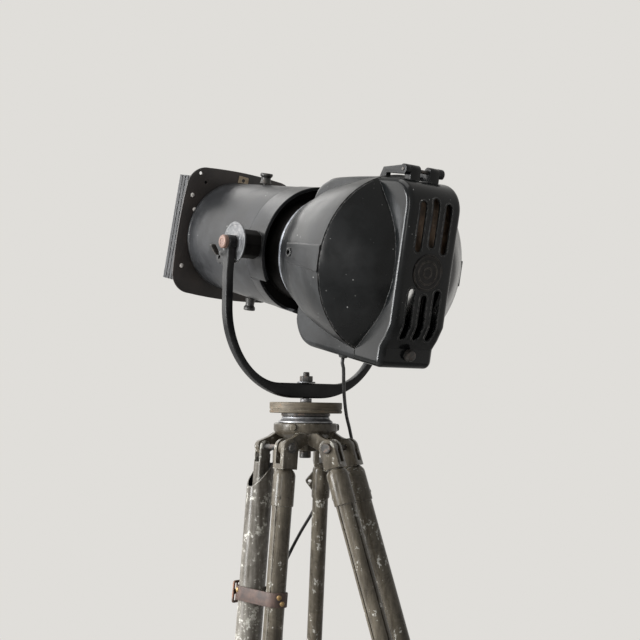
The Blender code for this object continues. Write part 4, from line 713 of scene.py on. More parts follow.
def makeStage():
    scene = bpy.context.scene
    scene.view_settings.view_transform = "Standard"
    world = bpy.data.worlds.new("room")
    scene.world = world
    world.use_nodes = True
    tree = world.node_tree
    background = tree.nodes["Background"]
    path = tree.nodes.new("ShaderNodeLightPath")
    seen = tree.nodes.new("ShaderNodeMath")
    seen.operation = "MAXIMUM"
    tree.links.new(path.outputs["Is Camera Ray"], seen.inputs[0])
    tree.links.new(path.outputs["Is Transmission Ray"], seen.inputs[1])
    shown = tree.nodes.new("ShaderNodeMath")
    shown.operation = "MAXIMUM"
    tree.links.new(seen.outputs[0], shown.inputs[0])
    tree.links.new(path.outputs["Is Glossy Ray"], shown.inputs[1])
    mix = tree.nodes.new("ShaderNodeMix")
    mix.data_type = "RGBA"
    mix.inputs[6].default_value = (0.165, 0.165, 0.168, 1.0)
    mix.inputs[7].default_value = (*stageFacts["pale"], 1.0)
    tree.links.new(shown.outputs[0], mix.inputs[0])
    tree.links.new(mix.outputs[2], background.inputs["Color"])
    floorFinish = Finish("paleFloor")
    mottle = floorFinish.noise(3.0, 5.0, 0.6)
    lit = floorFinish.add("ShaderNodeLightPath", out="Is Camera Ray")
    glow = floorFinish.blend(lit, (0.0, 0.0, 0.0), stageFacts["floorGlow"])
    floorFinish.surface(floorFinish.blend(mottle, (0.47, 0.46, 0.443), (0.52, 0.51, 0.492)), 0.6, 0.0, mottle, 0.001, 0.1,
                        **{"Emission Color": glow, "Emission Strength": 1.0})
    shape = bmesh.new()
    bmesh.ops.create_circle(shape, cap_ends=True, radius=stageFacts["floor"], segments=96)
    floor = meshObject("floor", shape)
    floor.data.materials.append(floorFinish.material)
    floor.location.z = -0.0005
    lamps = [  # name, place in the camera's basis: right, toward, up; size; power; colour; aim
        ("key", (-2.3, -0.3, 0.9), (2.0, 2.2), 42.0, (1.0, 0.985, 0.965), (0.0, 0.0, 0.15)),
        ("window", (-0.85, 2.05, 0.45), (0.26, 1.3), 12.0, (1.0, 0.995, 0.98), (0.0, 0.0, 0.15)),
        ("strip", (-1.9, 0.72, 0.40), (0.34, 1.3), 60.0, (0.97, 0.985, 1.0), (0.0, 0.0, 0.20)),
        ("sky", (-0.5, 0.3, 2.4), (2.0, 1.6), 30.0, (1.0, 0.99, 0.975), (0.0, 0.0, 0.2)),
        ("low", (-1.9, 0.5, -0.25), (0.7, 1.3), 20.0, (1.0, 0.99, 0.97), (0.0, 0.0, -0.35)),
        ("back", (-1.4, -2.0, 1.4), (1.6, 1.8), 24.0, (1.0, 0.99, 0.97), (0.0, 0.0, 0.2)),
    ]
    right = Vector((-0.814, 0.581, 0.0))
    toward = Vector((0.581, 0.814, 0.0))
    for name, spot, size, power, colour, aim in lamps:
        data = bpy.data.lights.new(name, "AREA")
        data.shape = "RECTANGLE"
        data.size, data.size_y = size
        data.energy = power
        data.color = colour
        lamp = bpy.data.objects.new(name, data)
        scene.collection.objects.link(lamp)
        lamp.location = headAxis + right * spot[0] + toward * spot[1] + Vector((0, 0, spot[2]))
        aimAt = headAxis + right * aim[0] + toward * aim[1] + Vector((0, 0, aim[2]))
        lamp.rotation_euler = (aimAt - lamp.location).to_track_quat("-Z", "Y").to_euler()


makeStage()
print("stage ready")


# Stand head: disc, neck, ring, hub and the yoke's bolt
headFacts = {
    "disc": 0.0534, "discThick": 0.0159, "neck": 0.036, "ringTop": -0.021, "ringHeight": 0.009, "ringLow": 0.040,
    "hub": 0.047, "hubWall": 0.010, "hubHeight": 0.029, "hubFoot": 0.022, "collar": 0.018, "collarHeight": 0.012, "bolt": 0.005,
}


def makeHead():
    h = headFacts
    groove = -h["discThick"] + 0.005
    bore = h["bolt"] + seatGap
    profile = [(-0.0012, bore), (-0.0012, h["disc"] - 0.0062), (-0.0002, h["disc"] - 0.0052), (0.0, h["disc"] - 0.0048),
               (0.0, h["disc"] - 0.0010), (-0.0004, h["disc"] - 0.0003), (-0.0012, h["disc"]),
               (groove + 0.0012, h["disc"]), (groove + 0.0008, h["disc"] - 0.0012), (groove - 0.0004, h["disc"] - 0.0012),
               (groove - 0.0008, h["disc"]), (-h["discThick"] + 0.0012, h["disc"]), (-h["discThick"] + 0.0003, h["disc"] - 0.0006),
               (-h["discThick"], h["disc"] - 0.0014), (-h["discThick"], bore)]
    disc = meshObject("headDisc", turned(profile, steps=fine))
    finished(disc, "stand", finishes["khakiDisc"], ["head_disc"], headTurn)
    neckTop = -h["discThick"] - seatGap
    neckFoot = h["ringTop"] - h["ringHeight"]
    profile = [(neckTop, bore), (neckTop, h["neck"]), (h["ringTop"] + 0.0016, h["neck"]), (h["ringTop"] + 0.0006, h["neck"] - 0.001),
               (h["ringTop"], h["neck"] - 0.003), (neckFoot, h["neck"] - 0.003), (neckFoot, bore)]
    finished(meshObject("headNeck", turned(profile, steps=fine)), "stand", finishes["boltSteel"], ["head_neck"], headTurn)
    inner = h["neck"] - 0.003 + seatGap
    profile = [(h["ringTop"], inner), (h["ringTop"], h["neck"] - 0.0016), (h["ringTop"] - 0.0006, h["neck"] - 0.001),
               (h["ringTop"] - 0.0024, h["neck"] - 0.0008), (h["ringTop"] - 0.0040, h["neck"] + 0.0002),
               (neckFoot + 0.0022, h["ringLow"] - 0.0002), (neckFoot + 0.0006, h["ringLow"]), (neckFoot, h["ringLow"] - 0.0005),
               (neckFoot, inner)]
    finished(meshObject("neckRing", turned(profile, steps=fine)), "stand", finishes["neckAluminium"], ["neck_ring"], headTurn)
    makeHub(neckFoot - seatGap, bore)
    strapTop = 0.006 + 0.022
    nutLow = strapTop + 0.002 + 2 * seatGap
    foot = neckFoot - seatGap - h["hubHeight"] - h["collarHeight"]
    stem = nutLow + 0.008 + 0.006
    profile = [(foot - 0.010, 0.0), (foot - 0.010, 0.0073), (foot - 0.009, 0.0085), (foot - 0.001, 0.0085), (foot - seatGap, 0.0075),
               (foot - seatGap, h["bolt"])]
    turnsShown = 9
    for index in range(turnsShown):
        base = stem - 0.0145 + index * 0.0015
        profile += [(base, h["bolt"] - 0.0005), (base + 0.00075, h["bolt"])]
    profile += [(stem - 0.0005, h["bolt"] - 0.0006), (stem, h["bolt"] - 0.0012), (stem, 0.0)]
    finished(meshObject("yokeBolt", turned(profile, closed=False)), "stand", finishes["boltSteel"], ["yoke_bolt"], headTurn)
    hexagon = [(0.0085 / math.cos(math.radians(30)) * math.cos(math.radians(60 * i)),
                0.0085 / math.cos(math.radians(30)) * math.sin(math.radians(60 * i))) for i in range(6)]
    nut = meshObject("yokeNut", prism(hexagon, nutLow, nutLow + 0.008, "xy"))
    carve(nut, rod(bore, nutLow - 0.010, nutLow + 0.020))
    softened(nut, 0.0006, 2)
    finished(nut, "stand", finishes["boltSteel"], ["yoke_nut"], headTurn @ Matrix.Rotation(0.3, 4, "Z"))
    washer = meshObject("yokeWasher", bevelEdges(pipe(0.0135, bore, strapTop + seatGap, strapTop + seatGap + 0.002), 0.0003))
    finished(washer, "stand", finishes["galvanised"], ["yoke_washer"], headTurn)
    spacer = meshObject("yokeSpacer", bevelEdges(pipe(0.0085, bore, -0.0012 + seatGap, 0.006 - seatGap), 0.0004))
    finished(spacer, "stand", finishes["galvanised"], ["yoke_spacer"], headTurn)


legs = {
    "azimuth": {"left": 0.0, "right": 120.0, "far": 240.0}, "tilt": {"left": 4.0, "right": 17.5, "far": 16.0},
    "pivotRadius": 0.054, "pivotDrop": 0.065, "spread": 0.031, "wall": 0.0018,
    "radii": {"left": (0.019, 0.014), "right": (0.014, 0.014), "far": (0.012, 0.012)},
    "forkWidth": 0.026, "forkRadius": 0.013, "forkLength": 0.030, "socketLength": 0.052, "socketWall": 0.0018,
    "earThick": 0.010, "earRadius": 0.0115, "pin": 0.004, "pinHead": 0.0075,
    "clampTop": -0.600, "clampHeight": 0.045, "clampDepth": 0.044, "clampWall": 0.006, "slider": 0.013, "sliderTop": -0.420,
    "height": 1.10,
}


def makeHub(top, bore):
    h = headFacts
    low = top - h["hubHeight"]
    wallFoot = top - h["hubWall"]
    edge = smoothProfile([(wallFoot, h["hub"]), (wallFoot - 0.006, h["hub"] - 0.004), (low + 0.004, h["hubFoot"] + 0.006),
                          (low, h["hubFoot"])], 0.002)
    profile = [(top, bore), (top, h["hub"] - 0.0026), (top - 0.0005, h["hub"] - 0.0011), (top - 0.0018, h["hub"] - 0.0002)]
    profile += [tuple(point) for point in edge] + [(low, h["collar"]), (low - h["collarHeight"] + 0.001, h["collar"]),
                                                   (low - h["collarHeight"], h["collar"] - 0.001), (low - h["collarHeight"], bore)]
    hub = meshObject("hub", turned(profile, steps=fine))
    earTop = top - 0.002
    for name, azimuth in legs["azimuth"].items():
        turn = Matrix.Rotation(math.radians(azimuth), 4, "Z")
        for side in (-1, 1):
            middle = side * legs["spread"]
            outline = [(0.016, earTop - 0.026), (0.016, earTop - 0.013), (0.034, earTop - 0.012), (legs["pivotRadius"] - 0.010, earTop - 0.018)]
            outline += arc((legs["pivotRadius"], -legs["pivotDrop"]), legs["earRadius"], 50.0, -120.0, 16)
            ear = softPrism(outline, middle - legs["earThick"] / 2, middle + legs["earThick"] / 2, "xz", 0.0012, 3)
            ear.transform(turn)
            carve(hub, ear, "UNION")
        hole = rod(legs["pin"] + seatGap, -0.060, 0.060, "forward", (legs["pivotRadius"], 0.0, -legs["pivotDrop"]))
        hole.transform(turn)
        carve(hub, hole)
        # a low boss over each pair of ears
        boss = rod(0.0052, 0.0, 0.0062, "across", (h["hub"] - 0.0035, 0.0, top - 0.006), 24, 0.001)
        boss.transform(turn @ Matrix.Rotation(math.radians(34.0), 4, "Z"))
        carve(hub, boss, "UNION")
    finished(hub, "stand", finishes["armyHub"], ["hub"], headTurn)
    for name, azimuth in legs["azimuth"].items():
        radii = legs["radii"][name]
        low = -legs["spread"] - cheekSize(radii[0])[0] - 0.0006
        high = legs["spread"] + cheekSize(radii[1])[0] + 0.0006
        profile = [(low - 0.003, 0.0), (low - 0.003, 0.0062), (low - 0.0020, 0.0073), (low, 0.0075), (low, 0.004), (high, 0.004),
                   (high, 0.0075), (high + 0.0008, 0.0075), (high + 0.0008, 0.0060), (high + 0.0022, 0.0056), (high + 0.003, 0.0048),
                   (high + 0.003, 0.0)]
        profile = [(-along, across) for along, across in profile]
        pin = turned(profile, "forward", (legs["pivotRadius"], 0.0, -legs["pivotDrop"]), small, False)
        finished(meshObject(f"legPin{name.title()}", pin), "stand", finishes["boltSteel"], [f"leg_{name}_pin"],
                 headTurn @ Matrix.Rotation(math.radians(azimuth), 4, "Z"))


def cheekSize(radius):
    if radius < 0.0185:
        return legs["forkWidth"] / 2, legs["forkRadius"]
    core = 0.019 - legs["wall"]
    return core * 0.50, core * 0.50


def makeMember(name, label, turn, middle, radius):
    thick = radius > 0.0185
    outer = radius + legs["socketWall"]
    fork = legs["forkLength"]
    low = -fork - legs["socketLength"]
    top = low + 0.034
    foot = legs["clampTop"] - legs["clampHeight"] * 0.9
    if thick:
        outer = radius - legs["wall"] + seatGap
        low = -0.104
        top = -0.008
    spot = (0.0, middle, 0.0)
    member = meshObject(f"legTube{name.title()}{label}", pipe(radius, radius - legs["wall"], foot, top, centre=spot, steps=48))
    if thick:
        # the mouth is cut off at a slant, low on its outer side
        mouth = box((-0.100, middle - 0.040, 0.0), (0.100, middle + 0.040, 0.120))
        mouth.transform(Matrix.Translation((0.0, 0.0, top - 0.027)) @ Matrix.Rotation(math.radians(54.0), 4, "Y"))
        carve(member, mouth)
        carve(member, rod(outer, low, -0.084, centre=spot, steps=48), "UNION")
    else:
        # the socket's rolled lower lip, its body and its rounded shoulder
        profile = [(low, radius - 0.0004), (low, outer - 0.0006), (low + 0.0007, outer), (-fork - 0.009, outer),
                   (-fork - 0.0055, outer - 0.0010), (-fork - 0.0025, outer - 0.0030), (-fork + 0.0005, outer - 0.0058), (-fork + 0.004, 0.0), (low + 0.004, 0.0),
                   (low + 0.004, radius - 0.0004)]
        carve(member, turned(profile, centre=spot, steps=48, closed=True), "UNION")
    half, cap = cheekSize(radius)
    root = -0.092 if thick else -fork
    outline = arc((0.0, 0.0), cap, 0.0, 180.0, 20) + [(-cap, root), (cap, root)]
    cheeks = softPrism(outline, middle - half, middle + half, "xz", 0.0022, 3)
    carve(member, cheeks, "UNION")
    slit = legs["earThick"] / 2 + 0.0006
    carve(member, box((-0.040, middle - slit, -fork + 0.007), (0.015, middle + slit, 0.040)))
    carve(member, rod(legs["pin"] + 0.0006, -0.030, 0.030, "forward", spot, 24))
    if not thick:
        inward = -math.copysign(1.0, middle)
        lugTop = -fork - legs["socketLength"] / 2 + 0.016
        wall = middle + inward * (outer - 0.001)
        tip = middle + inward * (outer + 0.011)
        outline = rounded([(wall, lugTop), (tip, lugTop - 0.016), (wall, lugTop - 0.032)], 0.003, 4)
        carve(member, softPrism(outline, -0.0025, 0.0025, "yz", 0.0006, 2), "UNION")
        carve(member, rod(0.0028, -0.010, 0.010, "across", (0.0, middle + inward * (outer + 0.00385), lugTop - 0.016), 24))
        # rivets that pin the socket to the tube
        for angle in (35.0, 215.0):
            across = Vector((math.cos(math.radians(angle)), math.sin(math.radians(angle)), 0.0))
            shape = rod(0.0028, outer - 0.001, outer + 0.0006, "up", (0.0, 0.0, 0.0), 16, 0.0004)
            shape.transform(Matrix.Translation((0.0, middle, low + 0.012)) @ Vector((0, 0, 1)).rotation_difference(across).to_matrix().to_4x4())
            carve(member, shape, "UNION")
    paintName = "armyThick" if thick else "armyLeg"
    if thick:
        # the tube's inner faces below its slanted mouth take near-black: painted shade inside the tube
        twoFinishes(member, "armyThick", "deepBlack",
                    lambda centre, normal: centre.z > -0.1 and math.hypot(centre.x, centre.y - middle) < radius - 0.0008
                    and normal.x * centre.x + normal.y * (centre.y - middle) < -0.003 and centre.z < -0.012)
    return finished(member, f"{name}_leg", finishes[paintName], [f"leg_{name}_tube_{label.lower()}"], turn, 30.0)


def makeLegs():
    g = legs
    for name in g["azimuth"]:
        azimuth = math.radians(g["azimuth"][name])
        lean = math.radians(g["tilt"][name])
        place = Vector((g["pivotRadius"] * math.cos(azimuth), g["pivotRadius"] * math.sin(azimuth), -g["pivotDrop"]))
        turn = headTurn @ Matrix.Translation(place) @ Matrix.Rotation(azimuth, 4, "Z") @ Matrix.Rotation(-lean, 4, "Y")
        radii = g["radii"][name]
        for side, label, radius in ((-1, "A", radii[0]), (1, "B", radii[1])):
            makeMember(name, label, turn, side * g["spread"], radius)
        middle = (radii[0] - radii[1]) / 2
        low = g["clampTop"] - g["clampHeight"]
        left = -g["spread"] - radii[0] - g["clampWall"]
        right = g["spread"] + radii[1] + g["clampWall"]
        depth = g["clampDepth"] / 2
        outline = rounded([(-depth, left), (depth, left), (depth, right), (-depth, right)], 0.012, 8)
        block = meshObject(f"legClamp{name.title()}", softPrism(outline, low, g["clampTop"], "xy", 0.002, 3))
        for side, radius in ((-1, radii[0]), (1, radii[1])):
            carve(block, rod(radius + seatGap, low + 0.003, g["clampTop"] + 0.010, centre=(0.0, side * g["spread"], 0.0), steps=48))
        carve(block, rod(g["slider"] + seatGap, low - 0.010, g["clampTop"] + 0.010, centre=(0.0, middle, 0.0), steps=48))
        bolt = [(0.0058 * math.cos(math.radians(60 * i)), 0.0058 * math.sin(math.radians(60 * i))) for i in range(6)]
        head = bevelEdges(prism([(middle + a, g["clampTop"] - g["clampHeight"] / 2 + b) for a, b in bolt], depth - 0.002, depth + 0.006, "yz"), 0.0006)
        carve(block, head, "UNION")
        finished(block, f"{name}_leg", finishes["armyLeg"], [f"leg_{name}_clamp"], turn)
        length = (g["height"] - g["pivotDrop"]) / math.cos(lean)
        tube = pipe(g["slider"], g["slider"] - g["wall"], -length + 0.028, g["sliderTop"], centre=(0.0, middle, 0.0), steps=48)
        finished(meshObject(f"legSlider{name.title()}", tube), f"{name}_foot", finishes["armyLeg"], [f"leg_{name}_slider"], turn)
        base = -length + 0.010
        profile = [(base, 0.0), (base, 0.0155), (base + 0.002, 0.0175), (base + 0.058, 0.0175), (base + 0.0605, 0.0170), (base + 0.062, 0.0155),
                   (base + 0.062, 0.0)]
        foot = meshObject(f"legFoot{name.title()}", turned(profile, centre=(0.0, middle, 0.0), steps=48, closed=False))
        sole = [(0.0, 0.0), (0.0, 0.0245), (0.0008, 0.0262), (0.0022, 0.027), (0.0065, 0.027), (0.0085, 0.0255), (0.0095, 0.021),
                (0.0110, 0.0175), (0.0110, 0.0)]
        solid = turned(sole, steps=64, closed=False)
        solid.transform(Matrix.Translation((0.0, middle, -length)) @ Matrix.Rotation(lean, 4, "Y"))
        carve(foot, solid, "UNION")
        carve(foot, rod(g["slider"] + seatGap, -length + 0.0277, -length + 0.090, centre=(0.0, middle, 0.0), steps=48))
        finished(foot, f"{name}_foot", finishes["rubber"], [f"leg_{name}_foot"], turn)


makeHead()
makeLegs()
print("stand ready")


# Strap round the left leg's two tubes, with its rivets and buckle
strapFacts = {"drop": 0.201, "height": 0.020, "thick": 0.0028, "buckleWide": 0.026, "buckleTall": 0.032, "bar": 0.0035,
              "buckleAngle": -150.0}


def strapOutline(grow):
    big = 0.019 + grow
    little = 0.014 + grow
    spread = legs["spread"]
    lean = math.degrees(math.asin((big - little) / (2 * spread)))
    return arc((0.0, -spread), big, 180.0 - lean, 360.0 + lean, 48) + arc((0.0, spread), little, lean, 180.0 - lean, 32)


def leftLegTurn():
    place = Vector((legs["pivotRadius"], 0.0, -legs["pivotDrop"]))
    return headTurn @ Matrix.Translation(place) @ Matrix.Rotation(-math.radians(legs["tilt"]["left"]), 4, "Y")


def makeStrap():
    f = strapFacts
    turn = leftLegTurn()
    low = -f["drop"] - f["height"]
    thick = f["thick"]
    strap = meshObject("legStrap", prism(strapOutline(seatGap + thick), low, low + f["height"], "xy"))
    carve(strap, prism(strapOutline(seatGap), low - 0.010, low + f["height"] + 0.010, "xy"))
    softened(strap, 0.0007, 2, 60.0)
    finished(strap, "left_leg", finishes["leather"], ["leg_strap"], turn)
    rivets = bmesh.new()
    for round, share, centre, radius in ((74.0, 0.70, 1, 0.014), (92.0, 0.28, 1, 0.014), (-14.0, 0.72, -1, 0.019)):
        away = radius + seatGap + thick
        rivet = turned([(-0.001, 0.0), (-0.001, 0.0036), (0.0004, 0.0036), (0.0012, 0.0030), (0.0018, 0.0018), (0.0020, 0.0)], steps=24, closed=False)
        across = Vector((math.cos(math.radians(round)), math.sin(math.radians(round)), 0.0))
        spot = Vector((0.0, centre * legs["spread"], low + f["height"] * share)) + across * away
        rivet.transform(Matrix.Translation(spot) @ Vector((0, 0, 1)).rotation_difference(across).to_matrix().to_4x4())
        extra = bpy.data.meshes.new("rivet")
        bmesh.ops.recalc_face_normals(rivet, faces=rivet.faces)
        rivet.to_mesh(extra)
        rivet.free()
        rivets.from_mesh(extra)
        bpy.data.meshes.remove(extra)
    finished(meshObject("strapRivets", rivets), "left_leg", finishes["brass"], [], turn)
    half = f["buckleWide"] / 2
    tall = f["buckleTall"] / 2
    frameOutline = rounded([(-half, -tall), (half, -tall), (half, tall), (-half, tall)], 0.005, 5)
    buckle = meshObject("strapBuckle", prism(frameOutline, 0.0, thick, "xz"))
    for end in (-1, 1):
        middle = end * tall / 2
        reach = tall / 2 - f["bar"]
        window = rounded([(-half + f["bar"], middle - reach), (half - f["bar"], middle - reach),
                          (half - f["bar"], middle + reach), (-half + f["bar"], middle + reach)], 0.002, 4)
        carve(buckle, prism(window, -0.004, 0.010, "xz"))
    softened(buckle, 0.0008, 2)
    tongue = rod(0.0014, -tall + 0.001, tall - 0.001, "up", (0.002, thick + 0.0006, 0.0), 16, 0.0004)
    carve(buckle, tongue, "UNION")
    away = 0.019 + thick + 2 * seatGap
    spot = Matrix.Translation((0.0, -legs["spread"], low + f["height"] / 2)) @ Matrix.Rotation(math.radians(f["buckleAngle"]), 4, "Z")
    finished(buckle, "left_leg", finishes["buckleIron"], ["strap_buckle"], turn @ spot @ Matrix.Translation((0.0, away, 0.0)))


# Yoke, its lock and the tilt pivots
yokeFacts = {"pivotHeight": 0.2252, "half": 0.144, "bar": 0.012, "depth": 0.013, "lowFace": 0.006, "strap": 0.022, "flat": 0.020, "innerFlat": 0.050,
             "armFoot": 0.135, "eyeOuter": 0.142, "eyeThick": 0.012, "eye": 0.0105, "lockReach": 0.020, "lockDrop": 0.020,
             "stud": 0.0028, "boltRadius": 0.006, "boltHead": 0.0097, "boltHeadHeight": 0.0075, "disc": 0.030, "discThick": 0.003}


def yokeOutline():
    y = yokeFacts
    inner = y["half"] - y["bar"]
    lean = y["half"] - y["eyeOuter"]
    innerFloor = y["lowFace"] + y["strap"]
    side = []
    count = 36
    for step in range(count + 1):
        angle = math.radians(-90.0 + 90.0 * step / count)
        side.append((y["flat"] + (y["half"] - y["flat"]) * math.cos(angle), y["armFoot"] + (y["armFoot"] - y["lowFace"]) * math.sin(angle)))
    side += [(y["half"], y["armFoot"] + 0.045), (y["eyeOuter"], y["pivotHeight"] - 0.022), (y["eyeOuter"], y["pivotHeight"])]
    side += [(y["eyeOuter"] - y["eyeThick"], y["pivotHeight"]), (inner - lean, y["pivotHeight"] - 0.022), (inner, y["armFoot"] + 0.045)]
    for step in range(count + 1):
        angle = math.radians(-90.0 * step / count)
        side.append((y["innerFlat"] + (inner - y["innerFlat"]) * math.cos(angle), y["armFoot"] + (y["armFoot"] - innerFloor) * math.sin(angle)))
    return side + [(-x, z) for x, z in reversed(side)]


def makeYoke():
    y = yokeFacts
    yoke = meshObject("yokeBar", softPrism(yokeOutline(), -y["depth"] / 2, y["depth"] / 2, "xz", 0.0022, 4))
    for side in (-1, 1):
        low, high = sorted((side * (y["eyeOuter"] - y["eyeThick"]), side * y["eyeOuter"]))
        carve(yoke, rod(y["eye"], low, high, "across", (0.0, 0.0, y["pivotHeight"]), medium, 0.0012), "UNION")
        carve(yoke, rod(y["boltRadius"] + seatGap, low - 0.010, high + 0.010, "across", (0.0, 0.0, y["pivotHeight"]), 48))
    height = y["pivotHeight"] - y["lockDrop"]
    outline = arc((-y["lockReach"], height), 0.009, 100.0, 290.0, 20) + [(0.0, height - 0.020), (0.0, height + 0.010)]
    lug = softPrism(outline, y["eyeOuter"] - y["eyeThick"] + 0.003, y["eyeOuter"] - 0.001, "yz", 0.0012, 2)
    carve(yoke, lug, "UNION")
    carve(yoke, rod(y["stud"] + seatGap, 0.100, 0.200, "across", (0.0, -y["lockReach"], height), 24))
    carve(yoke, rod(0.0056, -0.020, 0.060))
    finished(yoke, "yoke", finishes["yokeBlack"], ["yoke"], yokeTurn, 30.0)


def frictionDiscX():
    return yokeFacts["eyeOuter"] - yokeFacts["eyeThick"] - seatGap - yokeFacts["discThick"]


def makeLock():
    y = yokeFacts
    tip = frictionDiscX() + y["discThick"] + seatGap
    face = y["eyeOuter"] - 0.001 + seatGap
    hub = 0.0055
    long = 0.009
    profile = [(tip, 0.0), (tip, y["stud"]), (face, y["stud"]), (face, 0.0060), (face + 0.0004, 0.0065), (face + 0.0015, 0.0065),
               (face + 0.0019, hub), (face + long - 0.001, hub * 0.84), (face + long, hub * 0.74), (face + long, y["stud"] - 0.0003)]
    for index in range(4):
        base = face + long + 0.0002 + index * 0.0008
        profile += [(base, y["stud"] - 0.0004), (base + 0.0004, y["stud"] - 0.0001)]
    profile += [(face + long + 0.0034, y["stud"] - 0.0008), (face + long + 0.0034, 0.0)]
    nut = meshObject("wingNut", turned(profile, "across", steps=small, closed=False))
    for side in (-1, 1):
        reach = 0.019
        outline = [(side * 0.003, face + 0.0016), (side * reach * 0.5, face + 0.001 + long * 0.3), (side * reach, face + long + 0.002),
                   (side * reach * 0.92, face + long + 0.010), (side * reach * 0.50, face + long + 0.004), (side * 0.003, face + 0.0065)]
        outline = rounded([(along, across) for across, along in outline], 0.0030, 5)
        wing = softPrism(outline, -0.0026, 0.0026, "xy", 0.0013, 3)
        wing.transform(Matrix.Rotation(math.radians(68.0), 4, "X"))
        carve(nut, wing, "UNION")
    place = Matrix.Translation((0.0, -y["lockReach"], y["pivotHeight"] - y["lockDrop"]))
    finished(nut, "lock", finishes["darkSteel"], ["wing_nut"], yokeTurn @ place, 40.0)


def makePivots():
    y = yokeFacts
    for side, label in ((1, "Near"), (-1, "Off")):
        low = frictionDiscX()
        high = low + y["discThick"]
        bore = y["boltRadius"] + seatGap
        profile = [(low, bore), (low, y["disc"] - 0.0008), (low + 0.0006, y["disc"]), (high - 0.0006, y["disc"]), (high, y["disc"] - 0.0008),
                   (high, y["disc"] - 0.0040), (high - 0.0004, y["disc"] - 0.0044), (high - 0.0004, y["disc"] - 0.0125),
                   (high, y["disc"] - 0.0129), (high, bore)]
        disc = meshObject(f"frictionDisc{label}", turned([(side * along, radius) for along, radius in profile], "across", steps=fine))
        finished(disc, "lamp", finishes["galvanised"], [f"friction_disc_{label.lower()}"], lampTurn, 25.0)
        head = y["eyeOuter"] + seatGap
        top = head + y["boltHeadHeight"]
        tip = frictionDiscX() - 0.030
        profile = [(tip, 0.0), (tip, y["boltRadius"]), (head, y["boltRadius"]), (head, y["boltHead"] - 0.0004), (head + 0.0006, y["boltHead"]),
                   (top - 0.0022, y["boltHead"]), (top - 0.0008, y["boltHead"] - 0.0010), (top - 0.0001, y["boltHead"] - 0.0030),
                   (top - 0.0001, 0.0046), (top - 0.0008, 0.0040), (top - 0.0008, 0.0)]
        bolt = turned([(side * along, radius) for along, radius in profile], "across", steps=medium, closed=False)
        finished(meshObject(f"pivotBolt{label}", bolt), "lamp", finishes["rustyBolt"], [f"pivot_bolt_{label.lower()}"], lampTurn)


# Barrel, gate and lens
barrelFacts = {"rim": 0.0943, "taper": 0.030, "wall": 0.0020, "rear": -0.023, "bandFront": 0.0229, "lap": 0.018, "step": 0.0008,
               "notchWidth": 0.066, "notchDepth": 0.021, "notchAngle": -52.0, "trunnion": 0.021, "slotHalf": 0.0042,
               "guideHalf": 0.004, "front": 0.2166}
lensFacts = {"place": 0.143, "travel": 0.040, "radius": 0.0845, "depth": 0.017, "lens": 0.074, "lip": 0.070, "edge": 0.006, "sag": 0.022,
             "stud": 0.003, "knobBase": 0.0945}


def barrelRadius(forward):
    return barrelFacts["rim"] - barrelFacts["taper"] * (forward - barrelFacts["rear"])


def bandInside():
    b = barrelFacts
    return barrelRadius(b["bandFront"]) - b["step"] - b["wall"] + seatGap


def makeBarrel():
    b = barrelFacts
    front = b["front"] - seatGap
    lap = b["bandFront"] - b["lap"]
    outer = barrelRadius(b["bandFront"])
    inner = bandInside() - seatGap
    wall = b["wall"]
    start = b["bandFront"] + seatGap
    profile = [(lap, inner - wall), (lap, inner), (start, inner), (start, outer - 0.0005), (start + 0.0006, outer)]
    for step in range(1, 12):
        place = start + (front - start) * step / 12
        profile.append((place, barrelRadius(place)))
    profile += [(front - 0.0052, barrelRadius(front)), (front - 0.0044, barrelRadius(front) + 0.0007), (front - 0.0030, barrelRadius(front) + 0.0011),
                (front - 0.0008, barrelRadius(front) + 0.0011), (front, barrelRadius(front) + 0.0004), (front, barrelRadius(front) - wall),
                (b["bandFront"] + 0.006, outer - wall), (b["bandFront"] + 0.003, inner - wall)]
    barrel = meshObject("barrelTube", turned(profile, "forward", steps=fine))
    reach = lensFacts["travel"] + lensFacts["stud"] + 0.0015
    for side in (-1, 1):
        low = lensFacts["place"] - reach
        high = lensFacts["place"] + reach
        ends = arc((0.0, -low), b["slotHalf"], 0.0, 180.0, 14) + arc((0.0, -high), b["slotHalf"], 180.0, 360.0, 14)
        near, far = sorted((side * 0.06, side * 0.12))
        carve(barrel, prism(ends, near, far, "xy"))
    face = lensFacts["radius"] + seatGap
    reach = lensFacts["travel"] + lensFacts["depth"] / 2 + 0.002
    begin, end = lensFacts["place"] - reach, lensFacts["place"] + reach
    outline = [(face, -begin), (barrelRadius(begin) - 0.001, -begin), (barrelRadius(end) - 0.001, -end), (face, -end)]
    for side in (-1, 1):
        carve(barrel, prism([(side * x, y) for x, y in outline], -b["guideHalf"], b["guideHalf"], "xy"), "UNION")
    finished(barrel, "lamp", finishes["barrelBlack"], ["barrel"], lampTurn, 28.0)
    makeBand()


